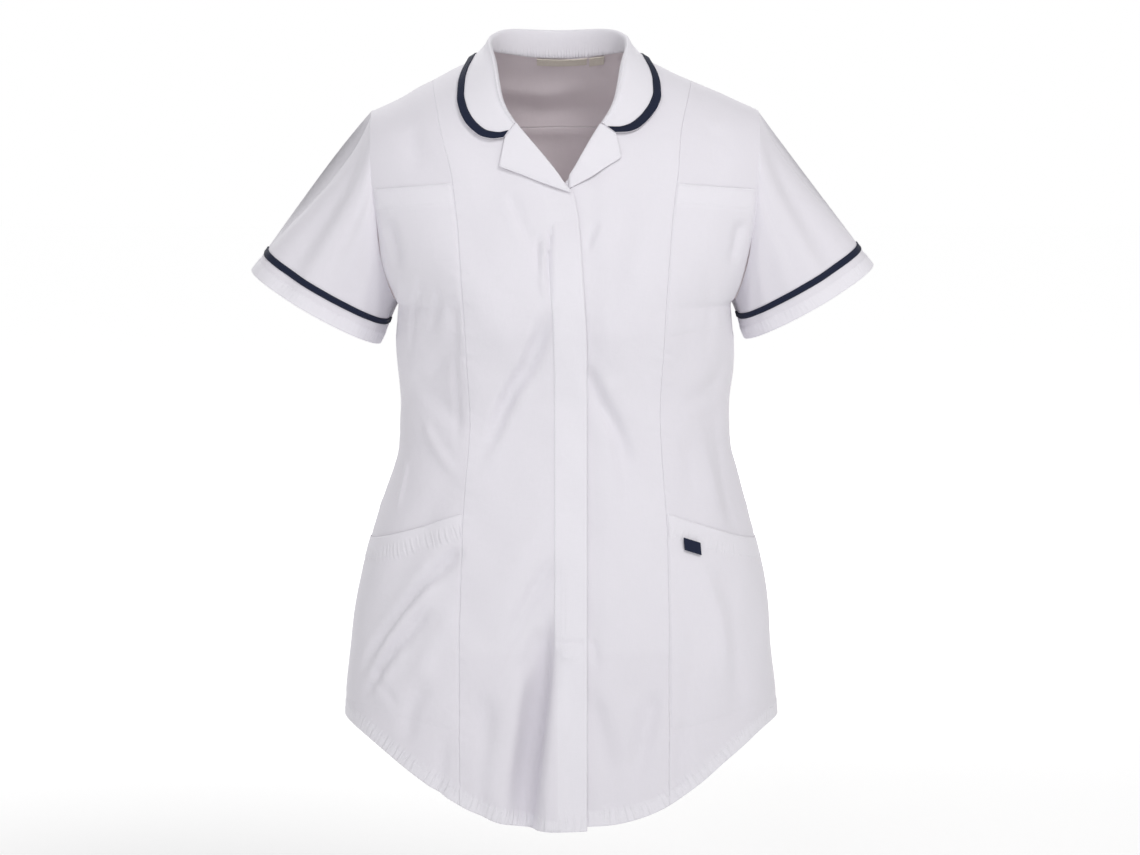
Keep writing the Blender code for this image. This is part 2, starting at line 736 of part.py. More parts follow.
def sleeve_grid(ring: np.ndarray, normals: np.ndarray, side: int) -> Panel:
    """A sleeve from the armhole to its hem, on the left (1) or right (-1) side."""
    count = len(ring)
    axis = unit(np.array([side * math.sin(CUFF_TILT), 0.0, -math.cos(CUFF_TILT)]))
    across = np.array([side * math.cos(CUFF_TILT), 0.0, math.sin(CUFF_TILT)])
    ahead = np.array([0.0, -1.0, 0.0])
    centre = np.array([side * CUFF_OUT[side], 0.0, CUFF_HEIGHT[side]])
    middle = ring.mean(axis=0)
    away = np.zeros_like(ring)
    for j in range(count):
        tangent = ring[(j + 1) % count] - ring[j - 1]
        away[j] = unit(np.cross(tangent, normals[j]) * side)
    laps = np.zeros((count, 1))
    points = np.zeros((len(SLEEVE_ROWS), count, 3))
    for j in range(count):
        angle = math.atan2(-(ring[j, 1] - middle[1]) * 1.25, ring[j, 2] - middle[2])
        top = max(0.0, math.cos(angle))
        under = max(0.0, -math.cos(angle))
        end = centre + across * CUFF_HALF_WIDTH * math.cos(angle)
        end = end + ahead * CUFF_HALF_DEPTH * math.sin(angle) + axis * CUFF_FRONT_DROP * math.sin(angle)
        lap = smoothstep(0.25, 0.75, under)
        start = ring[j] + away[j] * SLEEVE_START * (1 - lap) + normals[j] * SLEEVE_LAP * lap
        laps[j] = lap
        flare = SLEEVE_FLARE_TOP * top + SLEEVE_FLARE_SIDE * (1 - top) * (1 - under)
        length = np.linalg.norm(end - start)
        first = start + unit(axis + away[j] * flare) * length * SLEEVE_HANDLE
        second = end - unit(axis + across * SLEEVE_FLARE_TOP * top) * length * SLEEVE_HANDLE
        for i, row in enumerate(SLEEVE_ROWS):
            t = row.share - row.above_hem / length
            curve = start * (1 - t) ** 3 + first * 3 * t * (1 - t) ** 2
            curve = curve + second * 3 * t * t * (1 - t) + end * t ** 3
            rise = 0.0
            for fold in SLEEVE_FOLDS:
                gap = math.remainder(angle - fold.angle, 2 * math.pi)
                ends = smoothstep(fold.start - 0.1, fold.start + 0.25, t)
                ends *= 1 - smoothstep(fold.end - 0.15, fold.end + 0.25, t)
                rise += fold.rise * ends * math.exp(-((gap / fold.width) ** 2))
            radial = unit(across * math.cos(angle) + ahead * math.sin(angle))
            points[i, j] = curve + radial * rise
    out = np.zeros_like(points)
    for i in range(len(SLEEVE_ROWS)):
        for j in range(count):
            around = points[i, (j + 1) % count] - points[i, j - 1]
            low, high = max(i - 1, 0), min(i + 1, len(SLEEVE_ROWS) - 1)
            along = points[high, j] - points[low, j]
            out[i, j] = unit(np.cross(along, around) * side)
    out[0] = normals * (1 - laps) + out[0] * laps
    out[0] /= np.linalg.norm(out[0], axis=-1, keepdims=True)
    return Panel(points, out)


class CollarStation(NamedTuple):
    """One section of the collar: where it is sewn on, its roll and its outer edge.

    The seam and the edge are given by their angle over the shoulder in degrees, above 0 in
    front, and the edge by its distance from the centre too. The roll stands above the seam
    by rise, and is moved out from it by lean. The right edge hangs lower by right_drop.
    """

    seam_over: float
    rise: float
    lean: float
    edge_x: float
    edge_over: float
    right_drop: float = 0.0


COLLAR = (
    CollarStation(70.8, 0.0022, 0.0006, 0.0535, 74.6, 2.4),
    CollarStation(68.5, 0.0023, 0.0008, 0.0630, 74.0, 3.2),
    CollarStation(65.0, 0.0025, 0.0010, 0.0730, 72.0, 3.8),
    CollarStation(61.0, 0.0028, 0.0012, 0.0820, 67.8, 4.0),
    CollarStation(56.0, 0.0031, 0.0014, 0.0900, 61.5, 4.0),
    CollarStation(50.0, 0.0034, 0.0014, 0.0948, 55.5, 3.0),
    CollarStation(42.0, 0.0038, 0.0014, 0.0975, 48.0, 1.5),
    CollarStation(33.0, 0.0048, 0.0012, 0.0970, 38.5),
    CollarStation(23.0, 0.0068, 0.0008, 0.0945, 28.5),
    CollarStation(12.0, 0.0090, 0.0000, 0.0895, 16.0),
    CollarStation(0.8, 0.0125, -0.0012, 0.0860, 2.0),
    CollarStation(-10.5, 0.0178, -0.0010, 0.0830, -13.0),
    CollarStation(-20.2, 0.0225, 0.0005, 0.0790, -27.0),
    CollarStation(-27.6, 0.0255, 0.0020, 0.0620, -37.0),
    CollarStation(-32.1, 0.0268, 0.0030, 0.0340, -44.0),
    CollarStation(-33.6, 0.0270, 0.0035, 0.0000, -46.0),
)


def neck_distance(degrees: float) -> float:
    """Distance of the neckline from the centre, at an angle over the shoulder."""
    if degrees <= 0:
        return NECK_HALF * math.sqrt(max(0.0, 1 - (math.radians(degrees) / NECK_BACK) ** 2))
    x = NECK_HALF
    for _ in range(20):
        x = NECK_X(height_of(x, degrees / 90.0))
    return x


def over_shoulder(x: float, degrees: float) -> tuple:
    """Point and direction on the torso at a distance from the centre, over the shoulder."""
    theta = angle_at(x, 0.0)
    level = abs(degrees) / 90.0
    if degrees < 0:
        theta = -theta
    return torso(theta, level), torso_normal(theta, level)


def collar_sections(side: int) -> list:
    """Middle lines of the collar's sections on one side, from the front end to the back."""
    sections = []
    up = np.array([0.0, 0.0, 1.0])
    for station in COLLAR:
        seam_x = neck_distance(station.seam_over)
        seam, seam_normal = over_shoulder(side * seam_x, station.seam_over)
        edge_over = station.edge_over + (station.right_drop if side < 0 else 0.0)
        edge, edge_normal = over_shoulder(side * station.edge_x, edge_over)
        edge = edge + edge_normal * COLLAR_EDGE_LIFT
        outward = unit(np.array([edge[0] - seam[0], edge[1] - seam[1], 0.0]))
        stand = smoothstep(COLLAR_STAND_LOW, COLLAR_STAND_HIGH, station.rise)
        rise_way = unit(seam_normal * (1 - stand) + up * stand)
        slope = unit(edge - seam)
        way = unit(slope * (1 - stand) + outward * stand)
        foot = seam - slope * COLLAR_FOOT_BACK + seam_normal * (0.0002 + 0.0010 * (1 - stand))
        foot = foot - outward * COLLAR_FOOT_IN
        top = foot + rise_way * station.rise + way * station.lean
        radius = ROLL_RADIUS * (0.55 + 0.45 * stand)
        inner_turn = top - rise_way * radius * 0.7
        outer_turn = top + way * radius * 2.0 - rise_way * radius * 0.7
        crest = top + way * radius + rise_way * radius * 0.3
        half = foot * 0.5 + inner_turn * 0.5 - outward * 0.0008 * stand
        section = [foot, half, inner_turn, crest, outer_turn]
        length = np.linalg.norm(edge - outer_turn)
        braid = max(0.15, 1 - COLLAR_BRAID / length)
        on_cloth = 1 - smoothstep(COLLAR_CLOTH_LOW, COLLAR_STAND_HIGH, station.rise)
        for share in (braid * 0.34, braid * 0.67, braid, 1.0):
            straight = outer_turn * (1 - share) + edge * share
            x = seam_x + (station.edge_x - seam_x) * share
            over = station.seam_over + (edge_over - station.seam_over) * share
            ground, ground_normal = over_shoulder(side * x, over)
            lift = COLLAR_EDGE_LIFT + (1 - share) ** 2 * station.rise * 0.4
            close = ground + ground_normal * lift
            section.append(straight * (1 - on_cloth) + close * on_cloth)
        section[-1] = edge
        sections.append(section)
    return sections


def grid_normals(points: np.ndarray) -> np.ndarray:
    """Directions out of an open grid of points."""
    rows, columns = points.shape[:2]
    normals = np.zeros_like(points)
    for i in range(rows):
        for j in range(columns):
            down = points[min(i + 1, rows - 1), j] - points[max(i - 1, 0), j]
            along = points[i, min(j + 1, columns - 1)] - points[i, max(j - 1, 0)]
            normals[i, j] = unit(np.cross(down, along))
    return normals


class LapelStation(NamedTuple):
    """One section of a lapel: the height of its roll and its outer edge."""

    roll_z: float
    edge_x: float
    edge_z: float


RIGHT_LAPEL = (
    LapelStation(-0.0613, 0.0530, -0.0752), LapelStation(-0.0655, 0.0575, -0.0875),
    LapelStation(-0.0715, 0.0618, -0.1003), LapelStation(-0.0820, 0.0420, -0.1075),
    LapelStation(-0.0945, 0.0200, -0.1160), LapelStation(-0.1070, -0.0030, -0.1235),
)
LEFT_LAPEL = (
    LapelStation(-0.0613, 0.0540, -0.0699), LapelStation(-0.0640, 0.0550, -0.0800),
    LapelStation(-0.0700, 0.0556, -0.0918), LapelStation(-0.0810, 0.0400, -0.1005),
    LapelStation(-0.0940, 0.0250, -0.1100), LapelStation(-0.1060, 0.0110, -0.1180),
)


def lapel_grid(stations: tuple, side: int) -> np.ndarray:
    """Middle surface of a lapel, turned back over the neckline."""
    rows = []
    for station in stations:
        roll_x = side * NECK_X(station.roll_z)
        row = []
        for share in LAPEL_COLUMNS:
            x = roll_x + (side * station.edge_x - roll_x) * share
            z = station.roll_z + (station.edge_z - station.roll_z) * share
            theta = angle_at(x, z)
            level = level_of(x, z)
            point = torso(theta, level) + torso_normal(theta, level) * LAPEL_LIFT
            row.append(point)
        slope = unit(row[-1] - row[1])
        normal = torso_normal(angle_at(roll_x, station.roll_z), level_of(roll_x, station.roll_z))
        row[1] = row[1] - slope * LAPEL_ROLL[0] - normal * LAPEL_ROLL[1]
        row[0] = row[1] - slope * LAPEL_FOOT[0] - normal * LAPEL_FOOT[1]
        rows.append(row)
    return np.array(rows)


def build() -> None:
    """Makes every piece of the tunic."""
    white = make_material("white_poplin", (0.86, 0.86, 0.89), 0.75)
    navy = make_material("navy_braid", (0.012, 0.016, 0.035), 0.70)
    beige = make_material("beige_label", (0.62, 0.58, 0.50), 0.80)

    yoke = yoke_patch()
    back = back_patch(BACK_ROWS)
    panel_wall("back_yoke", yoke, "top bottom left right", white)
    panel_wall("back", back, "top left right", white, hem=True)
    laid_wall("neck_loop", inner_patch(yoke, LOOP_ROWS, LOOP_COLUMNS), TRIM, beige)
    laid_wall("size_tab", inner_patch(yoke, TAB_ROWS, TAB_COLUMNS), TRIM, beige)

    sides = {}
    for side, name in ((-1, "right"), (1, "left")):
        princess = seam_angle(PRINCESS_X, side)
        edge = closing_edge(side)
        outer = arm_or_side(side, False)
        if side < 0:
            centre = cut_panel(FRONT_ROWS, [edge, fly_line, princess], [2, 5])
            fly_rows = list(range(BREAST_TOP + 1, len(FRONT_ROWS)))
            fly = centre.part(fly_rows, [0.04, 1, 2], SEAM_GAP)
            fly.points[-2:] += fly.normals[-2:] * HEM_RAISE
            laid_wall("placket", fly, TRIM, white)
        else:
            centre = cut_panel(FRONT_ROWS, [edge, princess], [6])
            lower_wrap(centre)
        front = cut_panel(FRONT_ROWS, [princess, outer], [6])
        panel_wall("front_centre_" + name, centre, "top left right", white, hem=True)
        panel_wall("front_side_" + name, front, "top left right", white, hem=True)
        sides[side] = front
        breast_rows = list(range(BREAST_TOP, BREAST_BOTTOM + 1))
        breast = front.part(breast_rows, [0.12, 1, 2, 3, 4, 5, 5.6], SEAM_GAP)
        laid_wall("breast_pocket_" + name, breast, TRIM, white)
        hip = front.part(list(range(HIP_TOP, HIP_BOTTOM + 1)), [0.06, 1, 2, 3, 4, 5, 5.94], SEAM_GAP)
        face = Panel(hip.points + hip.normals * TRIM, hip.normals)
        face.points[:2] += hip.normals[:2] * HEM_RAISE
        wall("hip_pocket_" + name, face.points, hip.points, white)
        if side > 0:
            band = face.part([0, 1], LABEL_COLUMNS, LABEL_LIFT)
            tab = [band.points[0] * (1 - down) + band.points[1] * down for down in LABEL_ROWS]
            laid_wall("pocket_label", Panel(np.array(tab), band.normals), TRIM, navy)

    for side, name in ((-1, "right"), (1, "left")):
        ring, normals = armhole_ring(sides[side], yoke, back, side)
        sleeve = sleeve_grid(ring, normals, side)
        outer = sleeve.points.copy()
        outer[SLEEVE_HEM_ROW:] += sleeve.normals[SLEEVE_HEM_ROW:] * HEM_RAISE
        wall("sleeve_" + name, outer, sleeve.points - sleeve.normals * CLOTH, white, ring=True)
        braid = outer[BRAID_ROW:BRAID_ROW + 2] + sleeve.normals[BRAID_ROW:BRAID_ROW + 2] * SEAM_GAP
        thick = sleeve.normals[BRAID_ROW:BRAID_ROW + 2] * TRIM
        wall("sleeve_braid_" + name, braid + thick, braid, navy, ring=True)

    right = collar_sections(-1)
    left = collar_sections(1)
    middle = np.array(right + left[-2::-1])
    out = grid_normals(middle)
    wall("collar", middle + out * CLOTH / 2, middle - out * CLOTH / 2, white)
    band = middle[:, -2:] + out[:, -2:] * (CLOTH / 2 + SEAM_GAP)
    wall("collar_braid", band + out[:, -2:] * TRIM, band, navy)

    for stations, side, name in ((RIGHT_LAPEL, -1, "right"), (LEFT_LAPEL, 1, "left")):
        turned = lapel_grid(stations, side)
        out = grid_normals(turned) * -side
        wall("lapel_" + name, turned + out * TRIM / 2, turned - out * TRIM / 2, white)


for item in list(bpy.data.objects):
    bpy.data.objects.remove(item, do_unlink=True)
build()
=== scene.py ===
"""Looks of the nurse's tunic: cloth shells with their folds, sewing, braid, labels and a studio.

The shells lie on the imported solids. They come from the same torso surface and seam lines, cut
finer, with the creases that the worn cloth has. Metres, +Z up, and the front faces -Y.
"""

import logging
import math
from dataclasses import dataclass, field
from enum import Enum
from typing import Callable

import bpy
import numpy as np
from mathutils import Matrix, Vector


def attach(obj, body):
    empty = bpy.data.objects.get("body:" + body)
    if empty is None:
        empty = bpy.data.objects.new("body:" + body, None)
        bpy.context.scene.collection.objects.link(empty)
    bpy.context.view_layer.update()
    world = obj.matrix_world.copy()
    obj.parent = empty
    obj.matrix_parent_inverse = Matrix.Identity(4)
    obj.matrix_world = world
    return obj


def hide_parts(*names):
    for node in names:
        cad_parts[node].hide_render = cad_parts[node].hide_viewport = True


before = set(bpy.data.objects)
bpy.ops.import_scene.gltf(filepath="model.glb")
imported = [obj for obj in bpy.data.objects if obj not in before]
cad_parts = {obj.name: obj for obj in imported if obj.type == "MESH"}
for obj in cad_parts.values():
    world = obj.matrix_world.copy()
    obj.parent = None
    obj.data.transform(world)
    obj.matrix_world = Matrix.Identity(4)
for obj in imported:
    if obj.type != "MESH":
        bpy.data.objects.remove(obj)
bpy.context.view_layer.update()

LOG = logging.getLogger("tunic")


class Side(Enum):
    """The wearer's right or left side, by the sign of X."""

    RIGHT = -1
    LEFT = 1

    @property
    def word(self) -> str:
        """The side's name in node names."""
        return self.name.lower()


class Edge(Enum):
    """One edge of a piece's grid."""

    TOP = "top"
    BOTTOM = "bottom"
    LEFT = "left"
    RIGHT = "right"


def unit(vectors: np.ndarray) -> np.ndarray:
    """The same directions with a length of 1."""
    return vectors / np.maximum(np.linalg.norm(vectors, axis=-1, keepdims=True), 1e-12)


def smoothstep(low: float, high: float, values: np.ndarray) -> np.ndarray:
    """0 at low and 1 at high, with soft ends."""
    t = np.clip((np.asarray(values, float) - low) / (high - low), 0.0, 1.0)
    return t * t * (3 - 2 * t)


class Curve:
    """A smooth curve through a short table, level beyond its ends."""

    def __init__(self, table: list[tuple[float, float]]) -> None:
        """Keeps the table in order and works out its slopes.

        Args:
            table: pairs of a place and the value there.
        """
        ordered = np.array(sorted(table), dtype=float)
        self.places = ordered[:, 0]
        self.values = ordered[:, 1]
        steps = np.diff(self.values) / np.diff(self.places)
        before, after = steps[:-1], steps[1:]
        same_way = before * after > 0
        total = np.where(same_way, before + after, 1.0)
        inner = np.where(same_way, 2 * before * after / total, 0.0)
        self.slopes = np.concatenate([steps[:1], inner, steps[-1:]])

    def __call__(self, place: np.ndarray) -> np.ndarray:
        """The curve's value at each place."""
        x = np.clip(np.asarray(place, float), self.places[0], self.places[-1])
        i = np.clip(np.searchsorted(self.places, x, side="right") - 1, 0, len(self.places) - 2)
        span = self.places[i + 1] - self.places[i]
        t = (x - self.places[i]) / span
        rise = self.values[i] * (1 + 2 * t) * (1 - t) ** 2 + self.values[i + 1] * t * t * (3 - 2 * t)
        return rise + span * (self.slopes[i] * t * (1 - t) ** 2 - self.slopes[i + 1] * t * t * (1 - t))


@dataclass(frozen=True)
class Fold:
    """One large crease between two points of the front or back, seen square on."""

    x1: float
    z1: float
    x2: float
    z2: float
    width: float
    rise: float
    on_back: bool = False

    def push(self, x: np.ndarray, z: np.ndarray, on_back: np.ndarray) -> np.ndarray:
        """How far the crease moves the cloth at each point."""
        dx, dz = self.x2 - self.x1, self.z2 - self.z1
        along = ((x - self.x1) * dx + (z - self.z1) * dz) / (dx * dx + dz * dz)
        across = np.abs((x - self.x1) * dz - (z - self.z1) * dx) / math.hypot(dx, dz)
        ends = smoothstep(-0.2, 0.35, along) * (1 - smoothstep(0.75, 1.2, along))
        return self.rise * ends * np.exp(-((across / self.width) ** 2)) * (on_back == self.on_back)


@dataclass(frozen=True)
class TorsoForm:
    """The surface that every panel is cut from, as in the solids.

    An angle runs from 0 at the left side round the front to pi, and below 0 round the back. A
    level is 0 on the shoulder line, 1 where the shoulder has rounded over, then goes on down.
    """

    roundness: float = 2.35
    shoulder_drop: float = math.tan(math.radians(25.5))
    neck_half: float = 0.0665
    neck_top: float = 0.013
    round_from: float = -0.100
    level_step: float = 0.100
    bust_x: float = 0.088
    bust_z: float = -0.213
    bust_rise: float = 0.007
    bust_spread: float = 0.050
    hem_side: float = -0.6460
    hem_front: float = -0.7375
    hem_back: float = -0.7330
    hem_round: float = 3.4
    sway_neck: float = -0.0060
    sway_skirt: float = -0.0045
    rings: tuple = (
        (-0.750, 0.2205, 0.1510, 0.1430), (-0.700, 0.2195, 0.1500, 0.1420),
        (-0.650, 0.2175, 0.1480, 0.1400), (-0.600, 0.2130, 0.1460, 0.1370),
        (-0.550, 0.2075, 0.1430, 0.1330), (-0.500, 0.1990, 0.1375, 0.1270),
        (-0.450, 0.1870, 0.1300, 0.1160), (-0.410, 0.1740, 0.1240, 0.1050),
        (-0.370, 0.1645, 0.1215, 0.0985), (-0.334, 0.1640, 0.1240, 0.0990),
        (-0.300, 0.1665, 0.1320, 0.1020), (-0.274, 0.1675, 0.1400, 0.1055),
        (-0.255, 0.1665, 0.1450, 0.1085), (-0.236, 0.1650, 0.1465, 0.1110),
        (-0.230, 0.1690, 0.1462, 0.1112), (-0.216, 0.1760, 0.1452, 0.1125),
        (-0.192, 0.1875, 0.1415, 0.1145), (-0.157, 0.2015, 0.1330, 0.1155),
        (-0.125, 0.2130, 0.1225, 0.1135), (-0.100, 0.2170, 0.1150, 0.1095),
        (-0.050, 0.2170, 0.1020, 0.0990), (0.000, 0.2170, 0.0890, 0.0870),
        (0.030, 0.2170, 0.0800, 0.0800),
    )
    folds: tuple = (
        Fold(-0.020, -0.500, -0.042, -0.735, 0.016, -0.0065),
        Fold(-0.052, -0.560, -0.078, -0.735, 0.018, 0.0050),
        Fold(-0.016, -0.235, -0.085, -0.380, 0.016, -0.0050),
        Fold(-0.110, -0.395, -0.190, -0.560, 0.014, -0.0040),
        Fold(0.030, -0.300, 0.088, -0.430, 0.016, -0.0045),
        Fold(0.085, -0.560, 0.060, -0.720, 0.018, -0.0045),
        Fold(0.140, -0.330, 0.175, -0.455, 0.015, -0.0045),
        Fold(-0.135, -0.200, -0.120, -0.350, 0.016, -0.0040),
        Fold(-0.070, -0.380, -0.060, -0.735, 0.018, -0.0060, True),
        Fold(0.070, -0.390, 0.075, -0.735, 0.018, -0.0060, True),
        Fold(0.000, -0.420, 0.006, -0.720, 0.020, 0.0050, True),
        Fold(-0.120, -0.230, -0.040, -0.350, 0.018, -0.0045, True),
        Fold(0.125, -0.240, 0.045, -0.355, 0.018, -0.0045, True),
    )

    def ring(self, column: int) -> Curve:
        """One column of the table of rings, as a curve over the height."""
        return Curve([(row[0], row[column]) for row in self.rings])

    def __post_init__(self) -> None:
        """Makes the three curves of the table of rings."""
        object.__setattr__(self, "half_width", self.ring(1))
        object.__setattr__(self, "front_depth", self.ring(2))
        object.__setattr__(self, "back_depth", self.ring(3))

    def shoulder_top(self, x: np.ndarray) -> np.ndarray:
        """Height of the shoulder line, rounded over the neck."""
        x = np.abs(x)
        slope = self.neck_top - (x - self.neck_half) * self.shoulder_drop
        crown = self.neck_top + self.shoulder_drop * (self.neck_half ** 2 - x * x) / (2 * self.neck_half)
        return np.where(x > self.neck_half, slope, crown)

    def ring_share(self, theta: np.ndarray) -> np.ndarray:
        """Share of the half-width at an angle."""
        c = np.cos(theta)
        return np.copysign(np.abs(c) ** (2 / self.roundness), c)

    def angle_at(self, x: np.ndarray, z: np.ndarray) -> np.ndarray:
        """Angle round the front of a distance from the centre."""
        share = np.clip(x / self.half_width(z), -1.0, 1.0)
        return np.arccos(np.copysign(np.abs(share) ** (self.roundness / 2), share))

    def level_of(self, x: np.ndarray, z: np.ndarray) -> np.ndarray:
        """Level of a height."""
        z = np.asarray(z, float)
        share = np.clip((z - self.round_from) / (self.shoulder_top(x) - self.round_from), 0.0, 1.0)
        over = np.arccos(share) / (math.pi / 2)
        return np.where(z <= self.round_from, 1 + (self.round_from - z) / self.level_step, over)

    def height_of(self, x: np.ndarray, level: np.ndarray) -> np.ndarray:
        """Height of a level."""
        level = np.asarray(level, float)
        top = self.shoulder_top(x) - self.round_from
        over = self.round_from + top * np.cos(np.minimum(level, 1.0) * math.pi / 2)
        return np.where(level >= 1, self.round_from - (level - 1) * self.level_step, over)

    def x_at(self, theta: np.ndarray, level: np.ndarray) -> np.ndarray:
        """Distance from the centre at an angle and level."""
        x = np.zeros_like(np.asarray(theta, float) + np.asarray(level, float))
        for _ in range(3):
            x = self.half_width(self.height_of(x, level)) * self.ring_share(theta)
        return x

    def point(self, theta: np.ndarray, level: np.ndarray) -> np.ndarray:
        """Outer face of the cloth at each angle and level."""
        theta = np.asarray(theta, float)
        level = np.asarray(level, float)
        x = self.x_at(theta, level)
        z = self.height_of(x, level)
        over = np.sin(np.minimum(level, 1.0) * math.pi / 2)
        reach = np.abs(np.sin(theta)) ** (2 / self.roundness)
        on_back = theta < 0
        bust = ((np.abs(x) - self.bust_x) / self.bust_spread) ** 2 + ((z - self.bust_z) / self.bust_spread) ** 2
        front = -self.front_depth(z) * reach - self.bust_rise * np.exp(-bust)
        depth = np.where(on_back, self.back_depth(z) * reach, front)
        quiet = smoothstep(0.0, 0.35, np.abs(np.sin(theta))) * over
        rise = sum(fold.push(x, z, on_back) for fold in self.folds) * quiet
        return np.stack([x + np.cos(theta) * rise, depth * over - np.sin(theta) * rise, z], axis=-1)

    def normal(self, theta: np.ndarray, level: np.ndarray) -> np.ndarray:
        """Unit vector straight out of the cloth at each angle and level."""
        small = 1e-4
        theta = np.asarray(theta, float)
        level = np.asarray(level, float)
        high = np.maximum(level - small, 0.0)
        around = self.point(theta + small, level) - self.point(theta - small, level)
        down = self.point(theta, high + 2 * small) - self.point(theta, high)
        at_top = (level < small)[..., None]
        back = (theta < 0)[..., None]
        flat_down = down * np.array([1.0, 0.0, 1.0])
        around = np.where(at_top, np.where(back, [0.0, 1.0, 0.0], [0.0, -1.0, 0.0]), around)
        down = np.where(at_top, np.where(back, -flat_down, flat_down), down)
        normal = unit(np.cross(around, down))
        lift = np.where(level < 1, 0.3, 0.0)
        facing = np.stack([np.cos(theta), -np.sin(theta), lift], axis=-1)
        return np.where(np.sum(normal * facing, axis=-1, keepdims=True) > 0, normal, -normal)

    def hem_height(self, theta: np.ndarray) -> np.ndarray:
        """Height of the hem at each angle."""
        low = np.where(np.asarray(theta) < 0, self.hem_back, self.hem_front)
        return self.hem_side + (low - self.hem_side) * np.abs(np.sin(theta)) ** self.hem_round

    def sway(self, points: np.ndarray) -> np.ndarray:
        """Where points lie once the garment has settled a little to one side."""
        x, z = points[..., 0], points[..., 2]
        neck = smoothstep(-0.112, -0.055, z) * (1 - smoothstep(0.085, 0.165, np.abs(x)))
        skirt = smoothstep(-0.38, -0.62, z) * smoothstep(0.080, 0.200, np.abs(x))
        moved = points.copy()
        moved[..., 0] += self.sway_neck * neck + self.sway_skirt * skirt
        return moved


TORSO = TorsoForm()


@dataclass(frozen=True)
class Row:
    """One line of points round the torso, of one of the kinds over, flat, slant, skirt or hem."""

    kind: str
    at: float = 0.0
    side: float = 0.0


